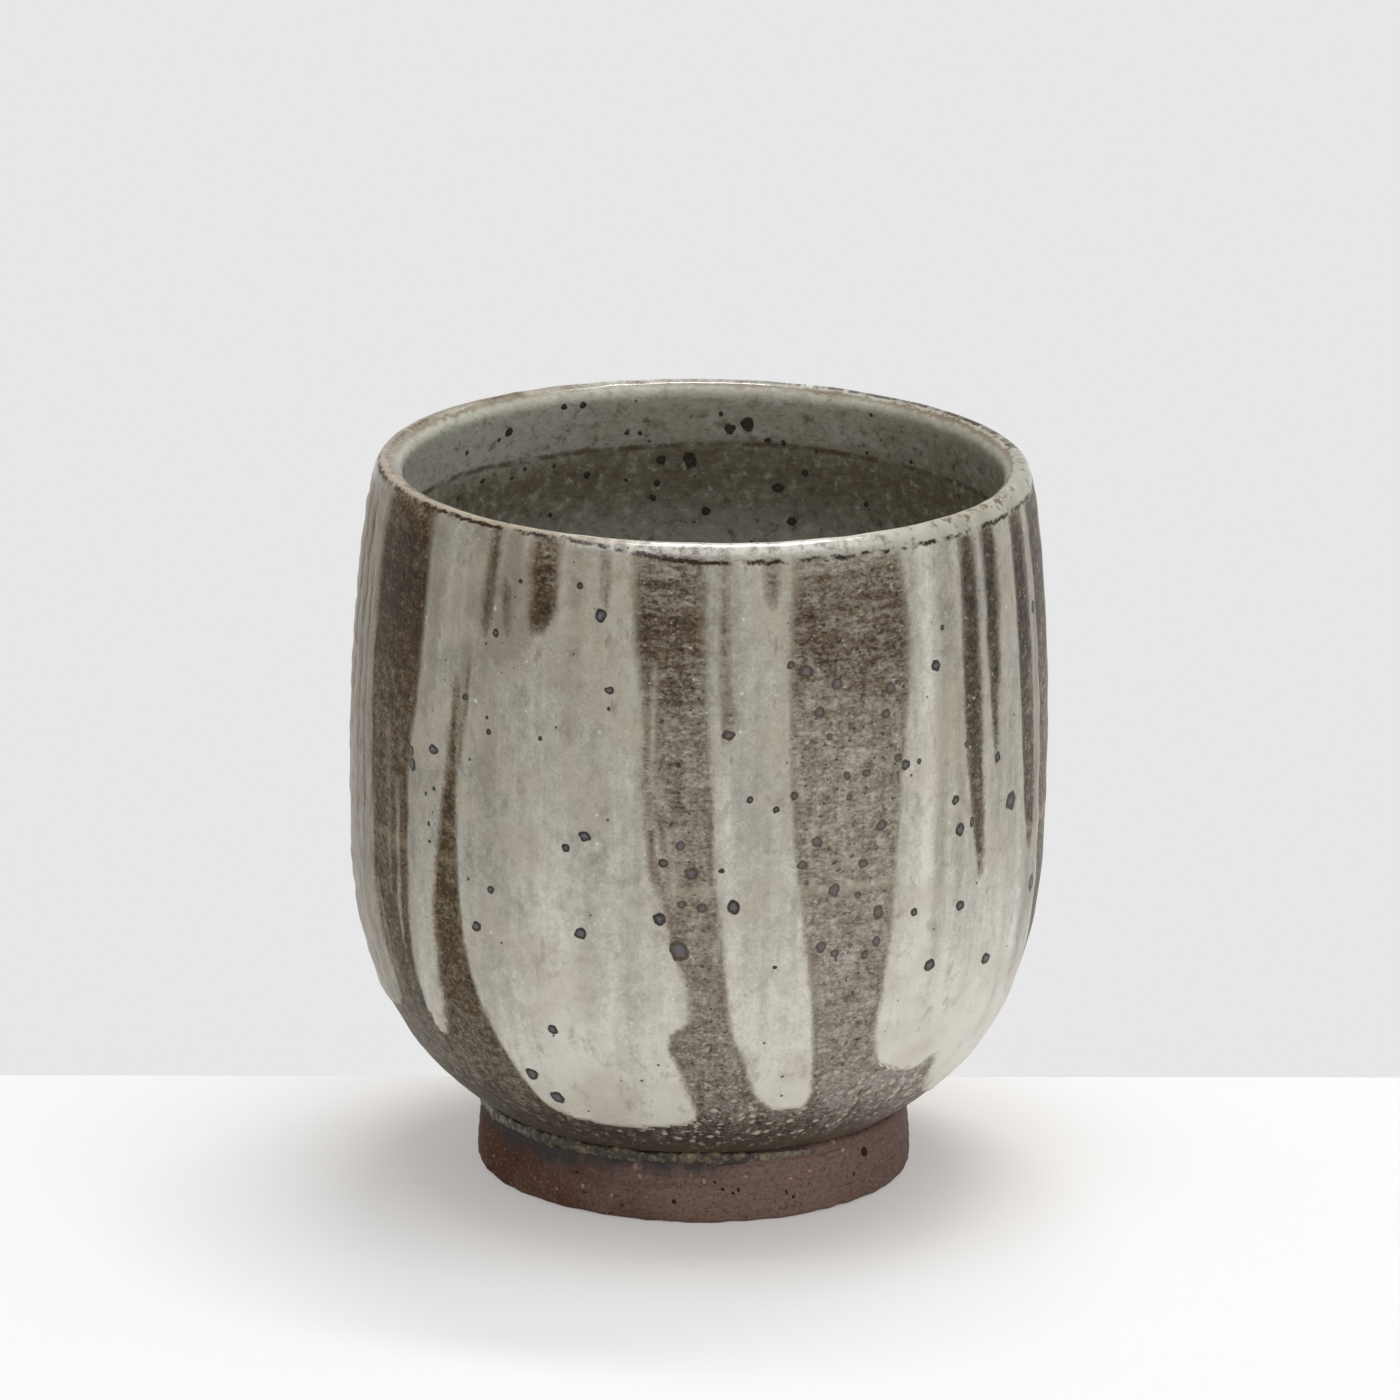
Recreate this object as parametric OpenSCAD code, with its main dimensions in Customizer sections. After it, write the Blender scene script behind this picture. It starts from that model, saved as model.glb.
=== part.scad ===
// Yunomi tea cup of dark stoneware. A bowl thrown on the wheel stands on a turned foot ring.
// The outside has a dark base glaze with pale glaze poured over it from the lip, in long runs.
// The inside has its own glaze, and a thin glaze covers the lip.
// Lengths are in millimetres. The origin is the middle of the footprint on the table, +Z is up.
// A bearing is an angle round the cup: 0 is the front, towards -Y, and it grows towards +X.

/* [Bowl] */
// Height from the table to the top of the lip
cup_h = 88.8; // [82:0.2:94]
// Widest outside diameter, over the base glaze
belly_d = 84.6; // [82:0.2:90]
// Height of the widest place above the table
belly_h = 44.8; // [40:0.4:50]
// Outside diameter over the base glaze where the lip begins
mouth_d = 80; // [77:0.2:81.6]
// Lean of the wall towards the middle below the lip, in degrees from upright
mouth_lean = 8.4; // [4:0.4:12]
// Thickness of the clay wall at the belly
wall_t = 3.8; // [3:0.1:5]
// Thickness of the clay floor in the middle
floor_t = 4; // [3:0.1:6]

/* [Lip] */
// Width of the clay across the lip
lip_w = 2.9; // [2:0.1:3.4]
// Height of the rounding of the lip
lip_rise = 1.8; // [1.2:0.1:2.6]

/* [Throwing rings inside] */
// Number of finger rings down the inside of the wall
ring_n = 5; // [2:1:8]
// Depth of each finger ring
ring_depth = 0.3; // [0.1:0.05:0.6]

/* [Foot] */
// Height of the foot ring
foot_h = 8.8; // [6:0.2:12]
// Diameter of the glazed wall where it meets the foot ring
crease_d = 51.7; // [48:0.2:56]
// Rise of the wall where it leaves the foot, in degrees above level
foot_lean = 29.5; // [22:0.5:40]
// How far the top of the foot ring stands out from the glazed wall
foot_step = 0.2; // [0:0.05:0.6]
// How far the foot ring flares outwards on its way down
foot_flare = 0.5; // [0:0.1:1.5]
// Height of the widest place of the foot ring above the table
flare_h = 2.8; // [2:0.1:4]
// Width of the foot ring across its flat rest
rest_w = 4.4; // [3:0.1:6]
// Radius of the two rounded edges of the rest
rest_edge = 0.6; // [0.3:0.05:1]
// Slope of the inside of the foot ring, in degrees from upright
recess_slope = 6; // [0:0.5:10]
// Height of the shallow dome turned into the roof of the foot recess
recess_dome = 0.8; // [0.2:0.1:1.6]

/* [Glaze] */
// Thickness of the dark base glaze on the outside
glaze_t = 0.4; // [0.2:0.05:0.8]
// Thickness of the pale runs over the base glaze
run_t = 0.25; // [0.15:0.05:0.5]
// Thickness of the glaze inside
inner_glaze_t = 0.3; // [0.2:0.05:0.6]
// Thickness of the glaze over the lip
lip_glaze_t = 0.25; // [0.15:0.05:0.5]
// Height of the glaze roll that stopped on the foot ring
roll_h = 1.3; // [0.8:0.1:2]
// How far the glaze roll stands out from the foot ring
roll_t = 0.5; // [0.3:0.05:0.8]
// Bearing where the glaze roll begins, in degrees
roll_from = -104; // [-120:1:-60]
// Bearing where the glaze roll ends, in degrees
roll_to = 33; // [10:1:60]

/* [Hidden] */
// Facets of a full turn
$fn = 96;
// Points along each stretch of the section through the wall
low_n = 10;
high_n = 8;
lip_n = 4;
ring_points = 6;
floor_n = 14;
roll_n = 8;
rest_arc_n = 4;
outline_n = 3;
// Lengths of the curve handles, as shares of the height of the stretch that they shape
crease_pull_share = 0.53;
belly_low_pull_share = 0.22;
belly_high_pull_share = 0.15;
mouth_pull_share = 0.49;
inner_belly_pull_share = 0.62;
// Length of the floor's handle, as a share of the inner radius
inner_floor_pull_share = 0.76;
// Place of the lip's ridge, as a share of its width from the outside
ridge_share = 0.36;
// Extra length of a cutting shape, as a share of its own, and its extra turn in degrees
overrun_share = 0.05;
overrun_turn = 2;

// Radii and heights of the clay, under the glaze
belly_r = belly_d / 2 - glaze_t;
mouth_r = mouth_d / 2 - glaze_t;
crease_r = crease_d / 2;
neck_r = crease_r - glaze_t / sin(foot_lean);
clay_top = cup_h - lip_glaze_t;
line_h = clay_top - lip_rise;
ridge_r = mouth_r - lip_w * ridge_share;
inner_mouth_r = mouth_r - lip_w;
inner_belly_r = belly_r - wall_t;
floor_h = foot_h + recess_dome + floor_t;
foot_top_r = crease_r + foot_step;
foot_wide_r = foot_top_r + foot_flare;
rest_out_r = foot_wide_r - rest_edge;
rest_in_r = rest_out_r - rest_w;
recess_low_r = rest_in_r - rest_edge;
recess_top_r = recess_low_r - (foot_h - rest_edge) * tan(recess_slope);

function bezier(p, t) =
    pow(1 - t, 3) * p[0] + 3 * pow(1 - t, 2) * t * p[1] + 3 * (1 - t) * t * t * p[2] + pow(t, 3) * p[3];
function curve(p, first, n) = [for (i = [first:n]) bezier(p, i / n)];
// A smooth closed curve through the points p, with n steps from each point to the next
function closed_curve(p, n) = [
    for (i = [0:len(p) - 1], j = [0:n - 1])
        let (a = p[(i + len(p) - 1) % len(p)], b = p[i], c = p[(i + 1) % len(p)],
             d = p[(i + 2) % len(p)], t = j / n)
        b + (c - a) * t / 2 + (a - 2.5 * b + 2 * c - d / 2) * t * t
            + (1.5 * (b - c) + (d - a) / 2) * t * t * t];
function arc(middle, across, up, from, to, n) =
    [for (i = [1:n]) let (a = from + (to - from) * i / n) middle + [across * cos(a), up * sin(a)]];

// Section through the clay, from the crease at the foot up the outside, over the lip and
// down the inside to the middle of the floor
low_rise = belly_h - foot_h;
high_rise = line_h - belly_h;
outer_low = [
    [neck_r, foot_h],
    [neck_r, foot_h] + low_rise * crease_pull_share * [cos(foot_lean), sin(foot_lean)],
    [belly_r, belly_h - low_rise * belly_low_pull_share],
    [belly_r, belly_h]];
outer_high = [
    [belly_r, belly_h],
    [belly_r, belly_h + high_rise * belly_high_pull_share],
    [mouth_r, line_h] + high_rise * mouth_pull_share * [sin(mouth_lean), -cos(mouth_lean)],
    [mouth_r, line_h]];
inner_high = [
    [inner_mouth_r, line_h],
    [inner_mouth_r, line_h] + high_rise * mouth_pull_share * [sin(mouth_lean), -cos(mouth_lean)],
    [inner_belly_r, belly_h + high_rise * belly_high_pull_share],
    [inner_belly_r, belly_h]];
inner_low = [
    [inner_belly_r, belly_h],
    [inner_belly_r, belly_h - (belly_h - floor_h) * inner_belly_pull_share],
    [inner_belly_r * inner_floor_pull_share, floor_h],
    [0, floor_h]];
high_inner_n = ring_n * ring_points;
// Finger rings: each is a shallow hollow in the inside of the wall
rings = [for (i = [1:high_inner_n])
    [ring_depth * (1 - cos(360 * i / ring_points)) / 2, 0]];
clay = concat(
    curve(outer_low, 0, low_n),
    curve(outer_high, 1, high_n),
    arc([ridge_r, line_h], mouth_r - ridge_r, lip_rise, 0, 90, lip_n),
    arc([ridge_r, line_h], ridge_r - inner_mouth_r, lip_rise, 90, 180, lip_n),
    [for (i = [1:high_inner_n]) bezier(inner_high, i / high_inner_n) + rings[i - 1]],
    curve(inner_low, 1, floor_n));
line_i = low_n + high_n;
inside_i = line_i + 2 * lip_n;
last_i = len(clay) - 1;
wall_radii = [for (i = [0:line_i]) [clay[i].y, clay[i].x]];
widest_r = max([for (p = clay) p.x]);

// A point of the section moved out of the clay by d, at right angles to the surface
function facing(i) = let (run = clay[i + 1] - clay[i - 1]) [run.y, -run.x] / norm(run);
function skin(i, d) =
    i == 0 ? [neck_r + d / sin(foot_lean), foot_h] :
    i == last_i ? [0, floor_h + d] :
    clay[i] + d * facing(i);
function coat(from, to, low, high) = concat(
    [for (i = [from:to]) skin(i, low)],
    [for (i = [to:-1:from]) skin(i, high)]);

// Outlines of the pale runs. Each point is a bearing in degrees and a share of the height
// of the wall, from 0 at the foot to 1 where the lip begins. Notches show the dark glaze.
run_shares = [
    [[-97, 1.1], [-98, 0.788], [-99, 0.492], [-98, 0.295], [-95, 0.197], [-86, 0.167], [-76, 0.177],
     [-66, 0.197], [-64, 0.246], [-66, 0.335], [-67, 0.443], [-68.5, 0.65], [-69.5, 0.847], [-70, 1.1],
     [-80, 1.1], [-81, 0.788], [-82, 0.611], [-83, 0.788], [-83, 1.1]],
    [[-52, 1.1], [-53, 0.788], [-55, 0.65], [-55.5, 0.492], [-55.5, 0.266], [-54, 0.197], [-51, 0.187],
     [-49, 0.266], [-48.5, 0.394], [-47.5, 0.522], [-45.5, 0.65], [-44, 0.788], [-43.2, 0.65],
     [-43, 0.522], [-42, 0.404], [-41, 0.335], [-39.5, 0.266], [-37, 0.207], [-34.5, 0.143],
     [-31, 0.089], [-24, 0.069], [-14, 0.064], [-4, 0.074], [1, 0.089], [-0.5, 0.138], [-3, 0.197],
     [-4.5, 0.227], [-3.5, 0.256], [-1, 0.276], [-1.2, 0.335], [-4, 0.404], [-5.5, 0.473],
     [-8, 0.532], [-9, 0.788], [-11, 0.906], [-12, 1.1], [-15, 1.1], [-16.5, 0.936], [-18, 1.1],
     [-24, 1.1], [-25, 0.916], [-28, 0.872], [-30, 0.906], [-31, 1.1], [-36, 1.1],
     [-37, 0.916], [-38.5, 0.857], [-39.2, 0.926], [-39.5, 1.1]],
    [[0.8, 1.1], [1, 0.788], [2, 0.65], [2.5, 0.532], [4, 0.404], [6, 0.266], [8.5, 0.207],
     [11, 0.148], [14.5, 0.113], [19, 0.103], [22.5, 0.118], [21.2, 0.197], [20, 0.266],
     [18, 0.404], [16, 0.532], [15, 0.66], [14.8, 0.847], [16, 1.1], [14, 1.1], [13, 0.951],
     [10.8, 0.951], [10, 1.1], [4.8, 1.1], [4.8, 0.818], [6, 0.778], [5, 0.734], [3.4, 0.749],
     [3.2, 1.1]],
    [[35, 1.1], [36.5, 0.906], [36, 0.788], [34.5, 0.65], [33, 0.404], [32, 0.266], [33.5, 0.197],
     [37, 0.163], [45, 0.143], [50, 0.163], [52, 0.118], [56, 0.079], [66, 0.054], [76, 0.059],
     [78, 0.197], [76.5, 0.394], [76, 0.788], [74.5, 1.1], [72.5, 1.1], [71.8, 0.906], [72.2, 0.65],
     [72.8, 0.522], [71, 0.453], [68.5, 0.512], [66.6, 0.65], [66, 0.906], [66.5, 1.1],
     [60, 1.1], [60, 0.906], [58.5, 0.788], [57, 0.621], [55.4, 0.788], [55.7, 0.906], [55.5, 1.1],
     [53, 1.1], [53.5, 0.906], [53, 0.66], [54, 0.522], [53, 0.453], [51, 0.532], [49, 0.66],
     [48.5, 0.788], [48.5, 1.1]],
    [[91, 1.1], [92, 0.788], [91, 0.542], [93, 0.355], [96, 0.217], [101, 0.148], [106, 0.187],
     [108, 0.295], [107, 0.492], [106, 0.788], [107, 1.1]],
    [[117, 1.1], [118, 0.827], [116, 0.591], [118, 0.374], [122, 0.217], [129, 0.118], [139, 0.089],
     [147, 0.118], [149, 0.246], [147, 0.443], [149, 0.69], [150, 1.1], [143, 1.1], [142, 0.867],
     [140, 0.788], [138, 0.886], [138, 1.1], [130, 1.1], [129, 0.69], [127.5, 0.512], [126, 0.709],
     [126, 1.1]],
    [[160, 1.1], [161, 0.788], [163, 0.492], [166, 0.295], [170, 0.236], [173, 0.315], [172, 0.591],
     [171, 0.847], [172, 1.1]],
    [[182, 1.1], [183, 0.788], [181, 0.552], [183, 0.335], [187, 0.167], [195, 0.099], [206, 0.079],
     [214, 0.128], [216, 0.295], [214, 0.512], [216, 0.788], [216, 1.1], [208, 1.1], [207, 0.886],
     [205, 0.827], [203.5, 0.916], [203, 1.1], [194, 1.1], [193, 0.808], [192, 0.65],
     [191, 0.827], [190, 1.1]],
    [[227, 1.1], [228, 0.749], [230, 0.492], [232, 0.295], [236, 0.217], [240, 0.266], [241, 0.492],
     [240, 0.768], [242, 1.1]]];

run_names = [for (k = [1:len(run_shares)]) str("pale_run_", k)];

module foot_ring() {
    section = concat(
        [[recess_top_r, foot_h], [recess_low_r, rest_edge]],
        arc([rest_in_r, rest_edge], rest_edge, rest_edge, 180, 270, rest_arc_n),
        [[rest_out_r, 0]],
        arc([rest_out_r, rest_edge], rest_edge, rest_edge, -90, 0, rest_arc_n),
        [[foot_wide_r, flare_h], [foot_top_r, foot_h]]);
    color("#6b4a3c")
        rotate_extrude() polygon(section);
}

module bowl_body() {
    section = concat([[0, foot_h + recess_dome], [recess_top_r, foot_h]], clay);
    color("#5f463b")
        rotate_extrude() polygon(section);
}

module base_glaze() {
    color("#6f665a")
        rotate_extrude() polygon(coat(0, line_i, 0, glaze_t));
}

module inner_glaze() {
    color("#77776c")
        rotate_extrude() polygon(coat(inside_i, last_i, 0, inner_glaze_t));
}

module lip_glaze() {
    color("#b3a392")
        rotate_extrude() polygon(coat(line_i, inside_i, 0, lip_glaze_t));
}

// The roll lies on the slope of the foot ring, just below the crease
module foot_glaze_roll() {
    flank = ([foot_wide_r, flare_h] - [foot_top_r, foot_h]) / (foot_h - flare_h);
    out = [-flank.y, flank.x] / norm(flank);
    section = [for (i = [0:roll_n])
        let (a = 180 * i / roll_n)
        [foot_top_r, foot_h] + flank * roll_h * (1 - cos(a)) / 2 + out * roll_t * sin(a)];
    color("#7d7a66")
        rotate_extrude(start = roll_from - 90, angle = roll_to - roll_from) polygon(section);
}

// A pale run is the part of a thin coat over the base glaze that lies inside its outline
module pale_run(outline) {
    bearings = [for (p = outline) p[0]];
    turn_from = min(bearings);
    turn_to = max(bearings);
    mid = (turn_from + turn_to) / 2;
    flat = [for (p = closed_curve(outline, outline_n))
        let (h = foot_h + (line_h - foot_h) * p[1])
        [lookup(h, wall_radii) * sin(p[0] - mid), h]];
    color("#b5b1a4")
        intersection() {
            rotate_extrude(start = turn_from - overrun_turn - 90,
                           angle = turn_to - turn_from + 2 * overrun_turn)
                polygon(coat(0, line_i, glaze_t, glaze_t + run_t));
            rotate([90, 0, mid])
                linear_extrude(height = widest_r * (1 + overrun_share))
                    polygon(flat);
        }
}

foot_ring();
bowl_body();
base_glaze();
inner_glaze();
lip_glaze();
foot_glaze_roll();
for (k = [0:len(run_shares) - 1])
    pale_run(run_shares[k]);
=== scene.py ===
"""Yunomi tea cup: glazes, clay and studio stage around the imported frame."""

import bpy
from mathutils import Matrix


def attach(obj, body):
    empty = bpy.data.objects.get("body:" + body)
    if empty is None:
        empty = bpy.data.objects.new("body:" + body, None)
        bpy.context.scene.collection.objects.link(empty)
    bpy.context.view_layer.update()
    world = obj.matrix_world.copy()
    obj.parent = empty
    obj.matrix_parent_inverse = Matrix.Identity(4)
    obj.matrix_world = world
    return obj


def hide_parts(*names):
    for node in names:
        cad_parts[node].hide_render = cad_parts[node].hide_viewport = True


bl_info = {
    "name": "Yunomi tea cup",
    "version": (1, 0, 0),
    "blender": (4, 5, 0),
    "location": "View3D > Sidebar > Tea cup",
    "description": "Poured glazes, iron spots, turned foot and stage of a stoneware tea cup",
    "category": "Object",
}

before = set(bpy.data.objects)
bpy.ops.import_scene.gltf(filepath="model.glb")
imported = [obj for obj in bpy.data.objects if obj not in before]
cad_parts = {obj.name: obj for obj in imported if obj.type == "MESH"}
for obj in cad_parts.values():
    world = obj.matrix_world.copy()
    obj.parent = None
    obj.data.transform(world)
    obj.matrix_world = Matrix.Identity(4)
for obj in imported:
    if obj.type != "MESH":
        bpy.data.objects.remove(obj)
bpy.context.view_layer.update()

from collections import namedtuple
import math
import random

import bpy
from mathutils import Matrix, Vector, noise
from mathutils.bvhtree import BVHTree

MM = 0.001
TURN = 2 * math.pi
RUNS = sorted(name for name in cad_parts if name.startswith("pale_run"))
OFF_CUP = 0.06      # metres from the axis, clear of the wall
FAR = 6             # mm from the edge of the pour, past which nothing changes


# Places on the cup: a bearing is 0 at the front (-Y) and grows towards the right (+X)

def outward(bearing):
    """Level direction from the axis at a bearing in degrees."""
    angle = math.radians(bearing)
    return Vector((math.sin(angle), -math.cos(angle), 0))


def bearing_of(point):
    return math.degrees(math.atan2(point.x, -point.y))


def smooth(value, low, high):
    """0 below low, 1 above high and an S-shaped rise between them."""
    share = min(1, max(0, (value - low) / (high - low)))
    return share * share * (3 - 2 * share)


def lookup(table, at):
    """Value of a table of (place, value) pairs at a place, straight between the pairs."""
    for (a, low), (b, high) in zip(table, table[1:]):
        if at <= b:
            return low + (high - low) * min(1, max(0, (at - a) / (b - a)))
    return table[-1][1]


# Sections: rings of the turned CAD layers, as (radius, height)

def near(ring, others):
    return any(math.dist(ring, other) < 0.05 * MM for other in others)


def rings(node):
    found = []
    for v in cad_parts[node].data.vertices:
        ring = (math.hypot(v.co.x, v.co.y), v.co.z)
        if not near(ring, found):
            found.append(ring)
    return found


def face_and_seat(node):
    """Rings of a glaze layer: those of its free face, and those that lie on the clay."""
    face, seat = [], []
    for ring in rings(node):
        (seat if near(ring, CLAY) else face).append(ring)
    return face, seat


def even(points, step):
    """The smooth curve through the points, cut into steps of one length."""
    ends = [points[0]] + list(points) + [points[-1]]
    curve = []
    for p0, p1, p2, p3 in zip(ends, ends[1:], ends[2:], ends[3:]):
        for k in range(12):
            t = k / 12
            curve.append(tuple(
                0.5 * (2 * b + (c - a) * t + (2 * a - 5 * b + 4 * c - d) * t * t
                       + (3 * b - a - 3 * c + d) * t ** 3)
                for a, b, c, d in zip(p0, p1, p2, p3)))
    curve.append(points[-1])
    walked = [0]
    for a, b in zip(curve, curve[1:]):
        walked.append(walked[-1] + math.dist(a, b))
    count = max(1, round(walked[-1] / step))
    stations, k = [], 0
    for i in range(count + 1):
        goal = walked[-1] * i / count
        while k < len(walked) - 2 and walked[k + 1] < goal:
            k += 1
        t = (goal - walked[k]) / max(walked[k + 1] - walked[k], 1e-9)
        stations.append(tuple(a + (b - a) * t for a, b in zip(curve[k], curve[k + 1])))
    return stations


def upward(ring):
    return ring[1]


def inward(ring):
    return -ring[0]


def downward(ring):
    return -ring[1], -ring[0]


CLAY = rings("bowl_body")
WALL, WALL_SEAT = (sorted(part, key=upward) for part in face_and_seat("base_glaze"))
LIP, LIP_SEAT = (sorted(part, key=inward) for part in face_and_seat("lip_glaze"))
INSIDE, INSIDE_SEAT = (sorted(part, key=downward) for part in face_and_seat("inner_glaze"))
LINE = WALL[-1][1]
LIP = [ring for ring in LIP if ring[1] > LINE + 0.1 * MM]
RIDGE = max(LIP, key=upward)
WALL_RADII = [(z, r) for r, z in WALL]
INSIDE_RADII = [(z, r) for r, z in reversed(INSIDE)]
FOOT_TOP = max(z for r, z in rings("foot_ring"))


def path_from_ridge(ring, outside):
    """Rough way along the surface from the lip's ridge, in mm: below 0 outside."""
    reach = math.dist(ring, RIDGE) / MM
    return -reach if outside else reach


def is_outside(radius, height):
    if height > LINE:
        return radius > RIDGE[0]
    return radius > (lookup(WALL_RADII, height) + lookup(INSIDE_RADII, height)) / 2


# The pour: how far a place on the wall is inside (+) or outside (-) of the poured runs, in mm

def run_trees():
    """Search trees of the poured runs: of all their faces, and of their side rims alone.
    The last value names the run of each rim."""
    points, faces, rims, owners = [], [], [], []
    for name in RUNS:
        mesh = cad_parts[name].data
        start = len(points)
        points += [v.co.copy() for v in mesh.vertices]
        for face in mesh.polygons:
            corners = [start + i for i in face.vertices]
            faces.append(corners)
            z = face.center.z
            slope = (lookup(WALL_RADII, z + MM) - lookup(WALL_RADII, z - MM)) / (2 * MM)
            away = outward(bearing_of(face.center))
            skin = Vector((away.x, away.y, -slope)).normalized()
            at_lip = face.normal.z > 0.7 and z > LINE - MM
            if abs(face.normal.dot(skin)) < 0.5 and not at_lip:
                rims.append(corners)
                owners.append(name)
    return BVHTree.FromPolygons(points, faces), BVHTree.FromPolygons(points, rims), owners


RUN_FACES, RUN_RIMS, RIM_OWNERS = run_trees()

# Narrow strokes in the pour: bearing and height (mm) at the top and at the low end,
# half width in mm, and how pale (+) or dark (-) the stroke is
STROKES = (
    (1.6, 88, 2.6, 60, 0.42, 0.25),
    (-7.6, 73, -7.2, 58, 0.3, 0.1),
    (-7, 55, -5, 47, 0.35, 0.2),
    (-4.5, 54, -3.5, 46, 0.25, 0.1),
    (-41, 71, -42.2, 60, 0.22, -0.2),
    (-43.2, 68, -44.6, 56, 0.3, -0.4),
    (-34.5, 82, -33.5, 76, 0.5, -0.1),
    (-16.5, 88, -16, 81, 0.5, -0.2),
    (-69, 80, -66, 62, 0.3, -0.3),
    (-73, 75, -72, 45, 0.3, -0.2),
    (-77, 84, -76, 50, 0.35, -0.25),
    (54, 86, 53.8, 70, 0.5, 0.3),
    (69, 84, 69, 66, 0.3, 0.0),
    (-62, 60, -61, 42, 0.25, 0.05),
    (-58.5, 52, -58, 34, 0.25, 0.1),
    (-65.5, 40, -63, 30, 0.4, 0.1),
)

# How dark the base glaze is, from 0 to 1, by bearing and by height in mm. Near the foot the
# second table holds.
IRON_ROUND = (
    (-180, .62), (-150, .85), (-110, .7), (-92, .7), (-70, 1.05), (-54, 1.1), (-42, 1.05),
    (-14, .65), (4, .48), (14, .42), (20, .4), (34, .45), (47, 1), (60, 1.05), (72, 1),
    (84, .75), (105, .6), (135, .75), (160, .6), (180, .62))
IRON_LOW = (
    (-180, .6), (-120, .7), (-80, .9), (-45, .85), (-32, .8), (-5, .62), (14, .6), (30, .42),
    (50, .32), (75, .35), (110, .5), (150, .6), (180, .6))
IRON_UP = (
    (8, .8), (13, .55), (18, .08), (28, 0), (45, 0), (62, 0), (68, .12), (74, .22), (80, .28),
    (84, .2), (88, -.25))

# How thick the pale glaze lies, from -1 to 1, in the same way. The tables also paint light and
# shade into it: paler low down, where the floor's bounce light falls, and towards the right front,
# duller high up and at the left
WASH_AND_LIGHT_ROUND = (
    (-180, -.2), (-130, -.1), (-100, -.6), (-84, -1), (-71, -.9), (-55, -.7), (-48, -.5),
    (-40, -.35), (-25, -.1), (0, .05), (8, .1), (20, .15), (36, .3), (50, .3), (58, 0),
    (66, -.05), (76, -.35), (88, -.4), (110, -.1), (150, .1), (180, -.2))
WASH_AND_LIGHT_UP = (
    (8, 1.5), (16, 1.35), (26, .95), (38, .45), (47, .15), (55, -.05), (62, -.2), (70, -.4),
    (80, -.55), (88, -.4))
# Painted sheen: paler glaze low at the right, where the floor's bright bounce falls: bearing,
# height in mm, and reach
LOW_RIGHT_SHEEN = (66, 17, 17)
# Soft streaks in the pale glaze: bearing and height at the top and at the low end, half
# width in mm, and how much thicker (+) or thinner (-) the glaze lies
STREAKS = (
    (41.5, 92, 39.3, 30, 1.3, .75), (45.3, 92, 42.2, 36, 1.2, -.6), (37, 86, 36, 30, .8, .2),
    (47.5, 70, 47.3, 42, .8, -.5), (62, 90, 61, 62, 1, .3), (58.5, 80, 58, 46, .7, -.5),
    (64.5, 70, 63, 46, .8, -.3), (50, 50, 50.5, 36, .9, -.4), (74, 84, 73.5, 30, .5, -.8),
    (70.5, 47, 70, 27, 1.6, -1.1), (-72, 88, -70, 28, .35, -.7), (-74.5, 88, -72.5, 26, .4, .5),
    (-77, 88, -75, 24, .5, -.9), (-80.5, 88, -79, 30, .5, .4), (-84, 88, -82, 30, .6, -.9),
    (-88, 88, -87, 40, .6, .3), (-46.5, 90, -48.5, 58, .8, .35), (-50, 88, -51.5, 40, .6, -.3),
    (-53.5, 70, -54.5, 30, .6, -.5), (-37, 62, -35, 26, 2.6, -.45), (-24, 50, -23, 16, 4.5, .35),
    (-33.5, 90, -33, 72, 1.7, -.8), (-21, 90, -21, 62, 1.1, -.35), (-41.5, 76, -42.5, 58, .5, -.6),
    (-36, 78, -37, 58, 1.4, -.4), (-13.5, 86, -12, 56, .9, .25), (-28, 72, -28, 52, 1.2, .25),
    (9, 88, 10, 60, 1, .2), (4.5, 60, 6, 34, .8, .3), (13.5, 80, 14, 50, .7, -.2))


def stroke_share(stroke, point):
    """Share of the way down a stroke at a point's height, and the way across it in mm."""
    top, z_top, low, z_low = stroke[:4]
    share = (z_top - point.z / MM) / (z_top - z_low)
    turn = bearing_of(point) - (top + (low - top) * share)
    return share, abs(turn) * math.pi / 180 * math.hypot(point.x, point.y) / MM


# Pour, iron, way from the ridge, nearest run, and pale glaze thickness with painted light and
# shade, at a point of a coat
Skin = namedtuple("Skin", "pour iron path run wash")


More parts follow.
